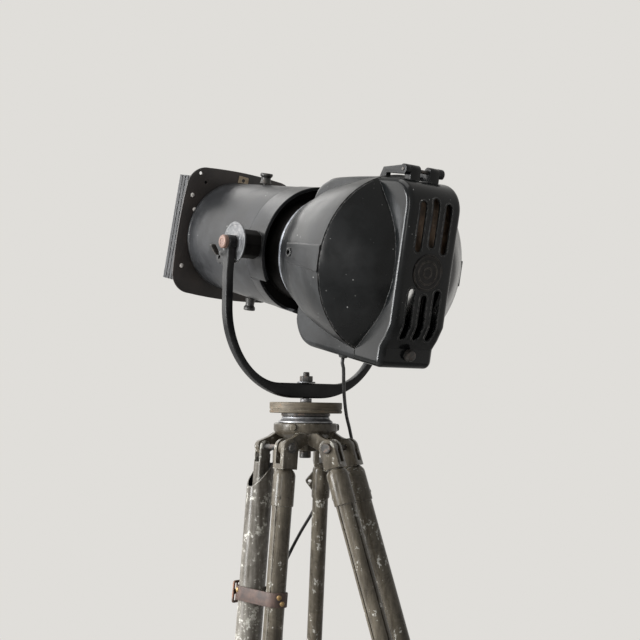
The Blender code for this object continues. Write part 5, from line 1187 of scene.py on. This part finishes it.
def makeBand():
    b = barrelFacts
    step = b["step"]
    inside = bandInside()
    rear = b["rear"]
    front = b["bandFront"]
    profile = [(rear, inside), (rear, b["rim"] + step - 0.0006), (rear + 0.0006, b["rim"] + step + 0.0002), (rear + 0.0022, b["rim"] + step + 0.0002),
               (rear + 0.0028, barrelRadius(rear + 0.0028) + step), (front - 0.0014, barrelRadius(front) + step),
               (front, barrelRadius(front) + step - 0.0007), (front, inside)]
    band = meshObject("gateBand", turned(profile, "forward", steps=fine))
    for side in (-1, 1):
        low, high = sorted((side * (b["rim"] - b["wall"]), side * (frictionDiscX() - seatGap)))
        block = turned([(low, 0.0), (low, b["trunnion"]), (high, b["trunnion"]), (high, 0.0)], "across", steps=8, closed=False)
        carve(band, bevelEdges(block, 0.0016, 3), "UNION")
    carve(band, rod(inside, -0.060, 0.060, "forward", steps=fine))
    for side in (-1, 1):
        low, high = sorted((side * (frictionDiscX() - 0.031), side * 0.150))
        carve(band, rod(yokeFacts["boltRadius"] + seatGap, low, high, "across", steps=small))
    cut = rounded([(-b["notchWidth"] / 2, -(rear + b["notchDepth"])), (b["notchWidth"] / 2, -(rear + b["notchDepth"])),
                   (b["notchWidth"] / 2, 0.060), (-b["notchWidth"] / 2, 0.060)], 0.005, 5)
    notch = prism(cut, 0.060, 0.120, "xy")
    notch.transform(Matrix.Rotation(math.radians(90.0 - b["notchAngle"]), 4, "Y"))
    carve(band, notch)
    hole = rod(0.0022, 0.080, 0.110, "across", steps=20)
    hole.transform(Matrix.Translation((0.0, -0.0205, 0.0)) @ Matrix.Rotation(math.radians(31.8), 4, "Y"))
    carve(band, hole)
    # the band's inside takes near-black as painted shade; the pivot blocks take it as their own black paint
    twoFinishes(band, "barrelBlack", "deepBlack", blocksAndShadeInBand)
    finished(band, "lamp", finishes["barrelBlack"], ["gate_band"], lampTurn, 28.0)


def blocksAndShadeInBand(centre, normal):
    # the pivot blocks, in near-black paint of their own, and the band's inside, near-black as painted shade
    away = math.hypot(centre.x, centre.z)
    outward = (normal.x * centre.x + normal.z * centre.z) / max(away, 1e-6)
    return away > barrelFacts["rim"] + 0.0015 or outward < -0.5


def makeGate():
    b = barrelFacts
    front = b["bandFront"] - b["lap"] - seatGap
    tube = 0.076
    inner = tube - 0.003
    flange = bandInside() - seatGap
    profile = [(-0.078, inner), (-0.078, tube - 0.0005), (-0.0775, tube), (front - 0.0034, tube), (front - 0.003, tube + 0.0004),
               (front - 0.003, flange), (front, flange), (front, inner)]
    finished(meshObject("gateTube", turned(profile, "forward", steps=fine)), "lamp", finishes["deepBlack"], ["gate_tube"], lampTurn)
    ring = bevelEdges(pipe(tube + 0.006, tube + seatGap, -0.050, -0.046, "forward", steps=fine), 0.0005, 2)
    finished(meshObject("gateRing", ring), "lamp", finishes["gateSteel"], ["gate_ring"], lampTurn)


def makeLens():
    k = lensFacts
    back = k["place"] - k["depth"] / 2
    front = k["place"] + k["depth"] / 2
    seat = back + 0.004
    bore = k["lens"] + seatGap
    profile = [(back, k["lip"]), (back, k["radius"] - 0.0005), (back + 0.0005, k["radius"]), (front - 0.0005, k["radius"]),
               (front, k["radius"] - 0.0005), (front, bore + 0.0004), (front - 0.0004, bore), (seat, bore), (seat, k["lip"])]
    carriage = meshObject("lensCarriage", turned(profile, "forward", steps=fine))
    for side in (-1, 1):
        carve(carriage, rod(k["stud"] + seatGap, *sorted((side * 0.078, side * 0.090)), "up", (0.0, -k["place"], 0.0)))
    finished(carriage, "carriage", finishes["deepBlack"], ["lens_carriage"], lampTurn)
    face = seat + seatGap
    bulge = (k["lip"] ** 2 + k["sag"] ** 2) / (2 * k["sag"])
    profile = [(face, 0.0), (face, k["lens"] - 0.0005), (face + 0.0005, k["lens"]), (face + k["edge"], k["lens"]), (face + k["edge"], k["lip"])]
    for step in range(1, 33):
        radius = k["lip"] * (1 - step / 32)
        profile.append((face + k["edge"] + math.sqrt(bulge ** 2 - radius ** 2) - bulge + k["sag"], radius))
    finished(meshObject("lensGlass", turned(profile, "forward", steps=fine, closed=False)), "carriage", finishes["glass"], ["lens"], lampTurn)
    low = face + k["edge"] + seatGap
    ring = bevelEdges(pipe(bore - 2 * seatGap, k["lip"] + 0.0015, low, low + 0.003, "forward", steps=fine), 0.0005, 2)
    finished(meshObject("lensRing", ring), "carriage", finishes["galvanised"], ["lens_ring"], lampTurn)
    for side, label, radius, height in ((1, "Top", 0.0100, 0.0165), (-1, "Low", 0.0092, 0.0195)):
        tip = k["radius"] - 0.0055
        base = k["knobBase"] - 0.003
        flare = smoothProfile([(base + 0.0006, radius * 0.90), (base + height * 0.22, radius * 0.82), (base + height * 0.55, radius * 0.74),
                               (base + height * 0.72, radius * 0.94), (base + height * 0.80, radius)], 0.0008)
        profile = [(tip, 0.0), (tip, k["stud"]), (base, k["stud"]), (base, radius * 0.86)] + [tuple(point) for point in flare]
        profile += [(base + height - 0.0012, radius), (base + height - 0.0004, radius - 0.0004), (base + height, radius - 0.0014), (base + height, 0.0)]
        knob = turned([(side * along, across) for along, across in profile], "up", (0.0, -k["place"], 0.0), medium, False)
        finished(meshObject(f"carriageKnob{label}", knob), f"{label.lower()}_knob", finishes["darkSteel"],
                 [f"carriage_knob_{label.lower()}"], lampTurn, 40.0)


# Front plate and colour runner, rolled a little in their screws
plateFacts = {"back": 0.2166, "thick": 0.0025, "side": 0.204, "corner": 0.034, "bulge": 0.003, "roll": -2.9, "hole": 0.080, "screw": 0.0035,
              "openHoles": [(0.0813, 0.0911), (0.0695, 0.0779)], "rivets": [(0.0898, 0.0542), (0.0819, 0.0321), (0.0827, -0.0020), (0.0881, -0.0595)],
              "tape": (-0.008, 0.0855, 0.0115, 0.0995)}
runnerFacts = {"half": 0.0955, "height": 0.169, "depth": 0.038, "wall": 0.0013, "rail": 0.010, "slots": 4, "sheet": 0.0016}
rollTurn = lampTurn @ Matrix.Rotation(math.radians(plateFacts["roll"]), 4, "Y")


def plateOutline():
    p = plateFacts
    half = p["side"] / 2
    straight = half - p["corner"]
    outline = []
    for quarter in range(4):
        turn = math.radians(90.0 * quarter)
        side = arc((straight, straight), p["corner"], 0.0, 90.0, 18)
        for step in range(1, 16):
            share = step / 16
            x = straight * (1 - 2 * share)
            side.append((x, half + p["bulge"] * (1 - (2 * share - 1) ** 2)))
        outline += [(x * math.cos(turn) - y * math.sin(turn), x * math.sin(turn) + y * math.cos(turn)) for x, y in side]
    return outline


def makeFront():
    p = plateFacts
    front = p["back"] + p["thick"]
    plate = meshObject("frontPlate", softPrism(plateOutline(), -front, -p["back"], "xz", 0.0007, 2))
    carve(plate, rod(p["hole"], 0.200, 0.240, "forward", steps=fine))
    for aside, up in p["openHoles"]:
        carve(plate, rod(p["screw"] * 0.8, 0.200, 0.240, "forward", (aside, 0.0, up), 24))
    finished(plate, "lamp", finishes["platePaint"], ["front_plate"], rollTurn, 30.0)
    makeRivets()
    makeTape()
    makeRunner(front + seatGap)


def makeRivets():
    # rivets that hold the runner, their tails on the plate's back
    p = plateFacts
    rivets = bmesh.new()
    for side in (-1, 1):
        for aside, up in p["rivets"]:
            profile = [(p["back"] + 0.0004, 0.0), (p["back"] + 0.0004, p["screw"]), (p["back"] - 0.0006, p["screw"]), (p["back"] - 0.0014, p["screw"] * 0.82),
                       (p["back"] - 0.0019, p["screw"] * 0.45), (p["back"] - 0.0020, 0.0)]
            rivet = turned(profile, "forward", (side * aside, 0.0, up), 24, False)
            extra = bpy.data.meshes.new("rivet")
            bmesh.ops.recalc_face_normals(rivet, faces=rivet.faces)
            rivet.to_mesh(extra)
            rivet.free()
            rivets.from_mesh(extra)
            bpy.data.meshes.remove(extra)
    finished(meshObject("plateRivets", rivets), "lamp", finishes["rivetSteel"], [], rollTurn, 40.0)


def makeTape():
    # an old square of cloth tape on the plate's back, holed in the middle
    p = plateFacts
    left, low, right, high = p["tape"]
    face = p["back"] - 0.0002
    outline = rounded([(left, low), (right, low + 0.0012), (right - 0.001, high), (left + 0.0008, high - 0.001)], 0.0015, 3)
    tape = meshObject("plateTape", prism(outline, -face, -face + 0.0005, "xz"))
    carve(tape, rod(0.0031, 0.210, 0.225, "forward", ((left + right) / 2, 0.0, (low + high) / 2), 24))
    finished(tape, "lamp", finishes["clothTape"], [], rollTurn, 40.0)


def railOutline(side, start):
    r = runnerFacts
    pitch = (r["depth"] + seatGap) / r["slots"]
    slot = pitch - 4 * r["wall"]
    outer = []
    inner = []
    inside = r["half"] - r["rail"]
    for index in range(r["slots"]):
        low = start + index * pitch
        high = low + pitch
        outer += [(r["half"], low + (r["wall"] if index else 0.0)), (r["half"], high - (r["wall"] if index < r["slots"] - 1 else 0.0))]
        if index < r["slots"] - 1:
            outer += [(r["half"] - 0.0058, high - r["wall"]), (r["half"] - 0.0058, high + r["wall"])]
        first = (low + high - slot) / 2
        last = (low + high + slot) / 2
        slotFloor = r["half"] - r["wall"] - 0.0005
        inner += [(inside, low if index == 0 else first - r["wall"]), (inside, first), (slotFloor, first), (slotFloor, last), (inside, last)]
    inner.append((inside, start + r["slots"] * pitch))
    clean = []
    for point in outer + list(reversed(inner)):
        if not clean or (Vector(point) - Vector(clean[-1])).length > 1e-5:
            clean.append(point)
    return [(side * x, -s) for x, s in clean]


def makeRunner(start):
    r = runnerFacts
    half = r["height"] / 2
    inside = r["half"] - r["rail"]
    runner = meshObject("colourRunner", box((-r["half"], -start - r["sheet"], -half), (r["half"], -start, half)))
    for side in (-1, 1):
        carve(runner, prism(railOutline(side, start + 0.0004), -half + 0.0002, half - 0.0002, "xy"), "UNION")
    carve(runner, box((-inside - 0.002, -start - r["depth"], -half + 0.0004), (inside + 0.002, -start - 0.0004, -half + 0.002)), "UNION")
    carve(runner, rod(plateFacts["hole"] - 0.002, 0.200, start + 0.003, "forward", steps=fine))
    softened(runner, 0.00035, 1, 60.0)
    # every face inside the outer sides takes near-black: painted shade in the rail grooves, the slots and the runner's
    # inside
    twoFinishes(runner, "runnerPaint", "deepBlack", lambda centre, normal: abs(centre.x) < r["half"] - 0.002)
    finished(runner, "lamp", finishes["runnerPaint"], ["colour_runner"], rollTurn, 30.0)


# Lamphouse: a front half on the lamp and a rear half that swings up
houseFacts = {"wall": 0.004, "neck": -0.058, "split": -0.2043, "overrun": 0.016, "spineHalf": 0.045, "spineEdge": 0.009, "top": 0.117,
              "bottom": -0.130, "back": -0.277, "padStart": -0.1035, "padLow": 0.0127, "padHigh": 0.019, "padHole": -0.1165,
              "padHoleRadius": 0.0036, "slotWidth": 0.0135, "slotPitch": 0.0215, "hingePlace": -0.238, "hingeHeight": 0.129,
              "knuckle": 0.007, "pin": 0.0025, "earInner": 0.025, "earOuter": 0.033, "knuckleInner": 0.008, "latchHeight": -0.111,
              "gateTube": 0.076}
frontBowl = [(-0.058, 0.087), (-0.066, 0.0885), (-0.080, 0.095), (-0.095, 0.101), (-0.110, 0.106), (-0.132, 0.111), (-0.165, 0.118),
             (-0.190, 0.1215), (-0.2043, 0.1229)]
rearBowl = [(-0.2046, 0.1222), (-0.209, 0.118), (-0.225, 0.101), (-0.240, 0.085), (-0.252, 0.070), (-0.258, 0.058), (-0.263, 0.047),
            (-0.267, 0.030), (-0.269, 0.014)]


def fineBowl(profile):
    return [tuple(point) for point in smoothProfile(profile, 0.003)]


def offsetBowl(profile, wall):
    shifted = []
    for index, point in enumerate(profile):
        before = Vector(profile[max(index - 1, 0)])
        after = Vector(profile[min(index + 1, len(profile) - 1)])
        along = (after - before).normalized()
        inward = Vector((-along.y, along.x))
        if inward.y > 0:
            inward = -inward
        shifted.append(tuple(Vector(point) + inward * wall))
    return shifted


def insideRadius(profile, forward):
    inner = offsetBowl(profile, houseFacts["wall"])
    for first, last in zip(inner, inner[1:]):
        if last[0] <= forward <= first[0]:
            share = (forward - first[0]) / (last[0] - first[0])
            return first[1] + share * (last[1] - first[1])
    return inner[-1][1]


def bowlSolid(profile, ends):
    return turned([(ends[0], 0.0)] + profile + [(ends[1], 0.0)], "forward", steps=fine, closed=False)


def spineShape(outline, half, edge=0.0):
    path = [(-s, u) for s, u in outline]
    if edge:
        return softPrism(path, -half, half, "yz", edge, 7)
    return prism(path, -half, half, "yz")


def sidePad(side):
    h = houseFacts
    past = h["split"] - h["overrun"]
    shape = bmesh.new()
    rings = []
    for forward, half, proud in ((h["padStart"], h["padLow"], 0.1085), (past, h["padHigh"], frontBowl[-1][1] + 0.0035)):
        rings.append([shape.verts.new((side * x, -forward, z)) for x, z in ((0.080, -half), (proud, -half), (proud, half), (0.080, half))])
    for index in range(4):
        following = (index + 1) % 4
        shape.faces.new((rings[0][index], rings[0][following], rings[1][following], rings[1][index]))
    shape.faces.new(rings[0])
    shape.faces.new(rings[1])
    shape.normal_update()
    bmesh.ops.recalc_face_normals(shape, faces=shape.faces)
    return bevelEdges(shape, 0.0014, 3, 40.0)


def hingeEar(side):
    h = houseFacts
    under = max(h["top"], rearBowl[0][1]) + 0.0006
    top = h["hingeHeight"] + h["knuckle"]
    outline = arc((-h["hingePlace"], h["hingeHeight"]), h["knuckle"], -60.0, 130.0, 20)
    outline += [(-h["split"] - 0.008, top - 0.006), (-h["split"] - 0.015, h["top"] - 0.002), (-h["split"] - seatGap, h["top"] - 0.002),
                (-h["split"] - seatGap, under), (-h["hingePlace"] - 0.004, under)]
    low, high = sorted((side * h["earInner"], side * h["earOuter"]))
    return softPrism(outline, low, high, "yz", 0.0006, 2)


def hingeKnuckle(side):
    h = houseFacts
    outline = arc((-h["hingePlace"], h["hingeHeight"]), h["knuckle"], -20.0, 200.0, 24)
    outline += [(-h["hingePlace"] - h["knuckle"] + 0.001, h["top"] - 0.002), (-h["hingePlace"] + h["knuckle"], h["top"] - 0.002)]
    low, high = sorted((side * h["knuckleInner"], side * (h["earInner"] - 0.0006)))
    return softPrism(outline, low, high, "yz", 0.0006, 2)


def seamCutter(low, high):
    # a ring that takes a narrow step off a half's rim, so the joint shows as a dark line
    floor = frontBowl[-1][1] - 0.0014
    return turned([(low, 0.160), (high, 0.160), (high, floor), (low, floor)], "forward", steps=fine)


def makeFrontHouse():
    h = houseFacts
    split = h["split"]
    past = split - h["overrun"]
    bowl = fineBowl(frontBowl)
    house = meshObject("lamphouseFront", bowlSolid([(h["neck"], 0.0864), (h["neck"] - 0.0008, 0.0874), (h["neck"] - 0.0026, 0.0874)] + bowl[2:] + [(past, frontBowl[-1][1])],
                                                   (h["neck"], past)))
    outline = [(-0.053, -0.096), (-0.057, 0.077), (-0.068, 0.095), (-0.088, 0.106), (-0.104, 0.110), (-0.150, 0.114), (split, h["top"]),
               (past, h["top"]), (past, h["bottom"]), (-0.104, h["bottom"]), (-0.090, h["bottom"] + 0.0008), (-0.075, -0.1245), (-0.0635, -0.1150), (-0.0560, -0.1040)]
    outline = outline[:1] + [tuple(point) for point in smoothProfile(outline[1:7], 0.006)] + outline[7:9] + [tuple(point) for point in smoothProfile(outline[9:] + outline[:1], 0.003)][:-1]
    carve(house, spineShape(outline, h["spineHalf"], h["spineEdge"]), "UNION")
    for side in (-1, 1):
        carve(house, sidePad(side), "UNION")
    carve(house, box((-0.200, -split, -0.200), (0.200, -split + 0.100, 0.200)))
    carve(house, seamCutter(split - 0.002, split + 0.0006))
    for side in (-1, 1):
        carve(house, hingeEar(side), "UNION")
    inner = offsetBowl(frontBowl[1:], h["wall"])
    inner = [(h["neck"] - h["wall"], inner[0][1] - 0.0005)] + fineBowl(inner[1:-1]) + [(split - 0.002, inner[-1][1] + 0.0002)]
    carve(house, bowlSolid(inner, (inner[0][0], inner[-1][0])))
    wall = h["wall"]
    chimney = [(-0.086, -0.110), (-0.086, 0.098), (-0.104, 0.105), (-0.150, 0.1095), (-0.206, h["top"] - wall), (-0.206, h["bottom"] + wall),
               (-0.098, h["bottom"] + wall)]
    carve(house, spineShape(chimney, h["spineHalf"] - wall))
    carve(house, rod(h["gateTube"] + seatGap, -0.070, -0.040, "forward", steps=fine))
    for side in (-1, 1):
        low, high = sorted((side * 0.085, side * 0.130))
        low, high = sorted((side * 0.100, side * 0.1128))
        outline = [(-h["padHole"] + 0.0068 * math.cos(math.radians(60 * i + 12)), 0.0068 * math.sin(math.radians(60 * i + 12))) for i in range(6)]
        carve(house, softPrism(outline, low, high, "yz", 0.0007, 2), "UNION")
        low, high = sorted((side * 0.080, side * 0.130))
        carve(house, rod(h["padHoleRadius"], low, high, "across", (0.0, -h["padHole"], 0.0), 24))
    carve(house, rod(h["pin"] + seatGap, -0.050, 0.050, "across", (0.0, -h["hingePlace"], h["hingeHeight"]), 24))
    carve(house, rod(0.0105 + seatGap, -0.150, -0.110, "up", (lead["glandAside"], -lead["glandPlace"], 0.0), small))
    finished(house, "lamp", finishes["houseBlack"], ["lamphouse_front"], lampTurn, 30.0)


def rearFace(up):
    # how far back the spine's rear face stands at a height
    h = houseFacts
    bend = h["top"] - 0.037
    if up <= bend:
        return h["back"]
    return h["back"] + 0.037 - math.sqrt(max(0.0, 0.037 ** 2 - (up - bend) ** 2))


def stadium(aside, low, high, half, steps=12):
    return arc((aside, high - half), half, 0.0, 180.0, steps) + arc((aside, low + half), half, 180.0, 360.0, steps)


def lipTube(path, radius, sides=10):
    # a closed round bead along a path
    shape = bmesh.new()
    rings = []
    count = len(path)
    for index, point in enumerate(path):
        along = (path[(index + 1) % count] - path[index - 1]).normalized()
        aside = along.cross(Vector((0.0, 1.0, 0.0))).normalized()
        over = along.cross(aside).normalized()
        rings.append([shape.verts.new(point + (aside * math.cos(2 * math.pi * k / sides) + over * math.sin(2 * math.pi * k / sides)) * radius)
                      for k in range(sides)])
    for index in range(count):
        here, there = rings[index], rings[(index + 1) % count]
        for k in range(sides):
            shape.faces.new((here[k], here[(k + 1) % sides], there[(k + 1) % sides], there[k]))
    return shape


def evenly(outline, spacing):
    points = []
    for index, corner in enumerate(outline):
        here = Vector(corner)
        there = Vector(outline[(index + 1) % len(outline)])
        count = max(1, round((there - here).length / spacing))
        points += [tuple(here + (there - here) * step / count) for step in range(count)]
    return points


def makeRearHouse():
    h = houseFacts
    wall = h["wall"]
    start = h["split"] - seatGap
    before = start + h["overrun"]
    bowl = fineBowl(rearBowl)
    rear = [(before, rearBowl[0][1])] + [(start, rearBowl[0][1])] + bowl[1:]
    house = meshObject("lamphouseRear", bowlSolid(rear, (before, rear[-1][0] - 0.001)))
    outline = [(h["split"] + h["overrun"], h["top"])] + arc((h["back"] + 0.037, h["top"] - 0.037), 0.037, 90.0, 180.0, 20)
    outline += [(h["back"], -0.071), (-0.269, -0.090), (-0.261, -0.103)] + arc((-0.250, h["bottom"] + 0.011), 0.011, 180.0, 270.0, 10)
    outline += [(h["split"] + h["overrun"], h["bottom"])]
    carve(house, spineShape(outline, h["spineHalf"], h["spineEdge"]), "UNION")
    carve(house, box((-0.200, -start - 0.100, -0.200), (0.200, -start, 0.200)))
    carve(house, seamCutter(start - 0.0006, start + 0.002))
    for side in (-1, 1):
        carve(house, hingeKnuckle(side), "UNION")
    inner = fineBowl(offsetBowl([(start, rearBowl[0][1])] + rearBowl[1:], wall))
    inner = [(start + 0.002, inner[0][1])] + inner[1:]
    carve(house, bowlSolid(inner, (inner[0][0], inner[-1][0] - 0.0005)))
    chimney = [(start + 0.004, h["top"] - wall)] + arc((h["back"] + 0.037, h["top"] - 0.037), 0.037 - wall, 90.0, 180.0, 16)
    chimney += [(h["back"] + wall, -0.069), (-0.265, -0.088), (-0.257, -0.102)]
    chimney += arc((-0.250, h["bottom"] + 0.011), 0.011 - wall, 180.0, 270.0, 6) + [(start + 0.004, h["bottom"] + wall)]
    carve(house, spineShape(chimney, h["spineHalf"] - wall))
    beads = []
    half = h["slotWidth"] / 2
    for flip in (1, -1):
        for column in (-1, 0, 1):
            near, far = (0.031, 0.097) if column == 0 else (0.024, 0.092)
            if flip < 0:
                near, far = (0.028, 0.091) if column == 0 else (0.021, 0.091)
            low, high = sorted((flip * near, flip * far))
            aside = column * h["slotPitch"]
            carve(house, prism(stadium(aside, low, high, half), 0.262, 0.300, "xz"))
            ring = evenly(stadium(aside, low + 0.0002, high - 0.0002, half - 0.0002), 0.002)
            beads.append(lipTube([Vector((x, -rearFace(u) - 0.0002 if u > -0.070 else 0.2768 - max(0.0, (-0.071 - u)) * 0.42, u)) for x, u in ring], 0.0013))
    carve(house, rod(h["pin"] + seatGap, -0.050, 0.050, "across", (0.0, -h["hingePlace"], h["hingeHeight"]), 24))
    carve(house, rod(0.0029 + seatGap, -0.300, -0.240, "forward", (0.0, 0.0, h["latchHeight"]), 24))
    shape = bmesh.new()
    shape.from_mesh(house.data)
    for bead in beads:
        extra = bpy.data.meshes.new("bead")
        bmesh.ops.recalc_face_normals(bead, faces=bead.faces)
        bead.to_mesh(extra)
        bead.free()
        shape.from_mesh(extra)
        bpy.data.meshes.remove(extra)
    shape.to_mesh(house.data)
    shape.free()
    # the rear half's darker black is painted shade
    finished(house, "door", finishes["doorBlackShaded"], ["lamphouse_rear"], lampTurn, 30.0)


def makeDoorPieces():
    h = houseFacts
    path = fineBowl([(-0.2065, 0.1040), (-0.222, 0.092), (-0.234, 0.076), (-0.243, 0.056), (-0.249, 0.034), (-0.251, 0.014)])
    thick = 0.0015
    inside = offsetBowl(path, thick)
    face = path[0][0]
    back = face - thick
    flange = insideRadius(rearBowl, back) - seatGap
    profile = [(face, flange), (back, flange), (back, path[0][1])] + path[1:] + list(reversed(inside[1:])) + [(face, path[0][1] - thick)]
    finished(meshObject("reflector", turned(profile, "forward", steps=fine)), "door", finishes["mirror"], ["mirror"], lampTurn, 40.0)
    slope = [(0.2695, 0.020), (0.2710, 0.020), (0.2570, 0.096), (0.2555, 0.096)]
    half = h["spineHalf"] - h["wall"] - seatGap
    finished(meshObject("lightBaffle", prism(slope, -half, half, "yz")), "door", finishes["baffle"], ["light_baffle"], lampTurn)
    face = h["back"] - seatGap
    thick = 0.0016
    floor = face - thick * 0.25
    profile = [(face, 0.0), (face, 0.024), (face - thick + 0.0004, 0.024), (face - thick, 0.0236), (face - thick, 0.0226), (face - thick + 0.0003, 0.0222), (floor, 0.0216)]
    for radius in (0.0150, 0.0062):
        profile += [(floor, radius + 0.0012), (face - thick * 0.75, radius + 0.0007), (face - thick * 0.75, radius - 0.0002), (floor, radius - 0.0007)]
    profile.append((floor, 0.0))
    finished(meshObject("badgePlate", turned(profile, "forward", steps=fine, closed=False)), "door", finishes["badgeBlack"], ["badge_plate"], lampTurn)
    wall = -0.261 - seatGap
    radius = 0.0078
    tip = wall - 0.009
    profile = [(wall + 0.012, 0.0), (wall + 0.012, 0.0029), (wall, 0.0029), (wall, radius - 0.0005), (wall - 0.0005, radius), (tip + 0.0022, radius * 0.93),
               (tip + 0.0008, radius * 0.86), (tip, radius * 0.68), (tip, 0.0)]
    knob = meshObject("latchKnob", turned(profile, "forward", (0.0, 0.0, h["latchHeight"]), 48, False))
    for index in range(12):
        angle = 2 * math.pi * index / 12
        place = (0.0088 * math.cos(angle), 0.0, h["latchHeight"] + 0.0088 * math.sin(angle))
        carve(knob, rod(0.0013, tip - 0.002, wall - 0.001, "forward", place, 10))
    finished(knob, "latch", finishes["darkSteel"], ["latch_knob"], lampTurn)


def makeLampInside():
    h = houseFacts
    reach = h["earOuter"] + 0.001
    pin = rod(h["pin"], -reach, reach, "across", (0.0, -h["hingePlace"], h["hingeHeight"]), 24, 0.0005)
    finished(meshObject("hingePin", pin), "lamp", finishes["boltSteel"], ["hinge_pin"], lampTurn)
    floor = h["bottom"] + h["wall"] + seatGap
    ceiling = -0.055 - 0.040 - seatGap
    tray = bevelEdges(box((-0.016, 0.180 - 0.016, floor), (0.016, 0.180 + 0.014, ceiling)), 0.001, 2)
    finished(meshObject("lampTray", tray), "lamp", finishes["darkSteel"], ["lamp_tray"], lampTurn)
    top = -0.055
    profile = [(top - 0.040, 0.0), (top - 0.040, 0.0185), (top - 0.0395, 0.019), (top - 0.001, 0.019), (top, 0.018), (top, 0.0145), (top - 0.012, 0.0145),
               (top - 0.012, 0.0)]
    finished(meshObject("lampSocket", turned(profile, "up", (0.0, 0.180, 0.0), medium, False)), "lamp", finishes["ceramic"], ["lampholder"], lampTurn)
    foot = top - 0.012 + seatGap
    profile = [(foot, 0.0), (foot, 0.0138), (top + 0.004, 0.0138)]
    profile += [tuple(point) for point in smoothProfile([(top + 0.004, 0.0138), (top + 0.010, 0.016), (0.030, 0.016), (0.038, 0.0142), (0.0440, 0.0080), (0.046, 0.0)], 0.003)][1:]
    finished(meshObject("bulbGlass", turned(profile, "up", (0.0, 0.180, 0.0), medium, False)), "lamp", finishes["glass"], ["bulb"], lampTurn, 50.0)
    wall = h["bottom"] + 0.0006
    high = wall - 0.008 + 0.024
    profile = [(high, 0.0029), (high, 0.0095), (wall + 0.0045, 0.0105), (wall, 0.0105), (wall - 0.001, 0.0098), (wall - 0.0018, 0.0088), (wall - 0.0026, 0.0084),
               (wall - 0.0034, 0.0078), (wall - 0.0042, 0.0076), (wall - 0.0050, 0.0068), (wall - 0.0062, 0.0064), (wall - 0.008, 0.0055), (wall - 0.008, 0.0029)]
    gland = turned(profile, "up", (lead["glandAside"], -lead["glandPlace"], 0.0), small)
    finished(meshObject("cableGland", gland), "lamp", finishes["rubber"], ["cable_gland"], lampTurn)


def rivetFinish():
    # zinc dulled to grey, some heads pinkish with primer, some bare and white
    f = Finish("rivetSteel")
    spot = f.noise(46.0, 2.0, 0.5)
    grain = f.noise(700.0, 3.0, 0.5)
    colour = f.blend(spot.above(0.40, 0.52), (0.20, 0.15, 0.14), (0.62, 0.60, 0.57))
    return f.surface(f.blend(grain * 0.4, colour, (0.34, 0.31, 0.29)), f.lerp(grain, 0.35, 0.55), 0.3, grain, 0.0001, 0.4, 0.0004)


def tapeFinish():
    # beige cloth tape gone brown at its edges
    f = Finish("clothTape")
    weave = f.noise(1.0, 2.0, 0.5, f.place(scale=(1800.0, 300.0, 1800.0)))
    stain = f.noise(120.0, 5.0, 0.6)
    colour = f.blend(stain.above(0.35, 0.7), (0.46, 0.36, 0.24), (0.62, 0.53, 0.40))
    return f.surface(f.blend(weave * 0.35, colour, (0.34, 0.26, 0.17)), f.lerp(stain, 0.7, 0.85), 0.0, weave, 0.0002, 0.5)


def baffleFinish():
    # heat-browned steel sheet
    f = Finish("baffle")
    broad = f.noise(40.0, 5.0, 0.6)
    fleck = f.noise(300.0, 4.0, 0.6)
    colour = f.blend(broad.above(0.35, 0.68), (0.060, 0.038, 0.024), (0.20, 0.135, 0.090))
    return f.surface(f.blend(fleck.above(0.55, 0.75), colour, (0.30, 0.24, 0.18)), f.lerp(broad, 0.4, 0.6), 0.4, fleck, 0.0001, 0.4)


def badgeFinish():
    # brown-black enamel in a rubbed rim
    f = Finish("badgeBlack")
    broad = f.noise(120.0, 5.0, 0.6)
    colour = f.blend(broad.above(0.35, 0.7), (0.0085, 0.0078, 0.0076), (0.022, 0.0205, 0.0195))
    rim = (f.edges(0.0009, 0.03, 0.2) * broad).above(0.3, 0.5)
    colour = f.blend(rim * 0.6, colour, (0.30, 0.26, 0.22))
    return f.surface(colour, f.lerp(broad, 0.3, 0.5), 0.0, broad, 0.0002, 0.5, 0.0006, **{"Specular IOR Level": 0.16})


finishes["baffle"] = baffleFinish()
finishes["badgeBlack"] = badgeFinish()
finishes["rivetSteel"] = rivetFinish()
finishes["clothTape"] = tapeFinish()
makeStrap()
makeYoke()
makeLock()
makePivots()
print("yoke ready")
makeBarrel()
makeGate()
makeLens()
makeFront()
print("barrel ready")
makeFrontHouse()
makeRearHouse()
makeDoorPieces()
makeLampInside()
print("lamphouse ready")
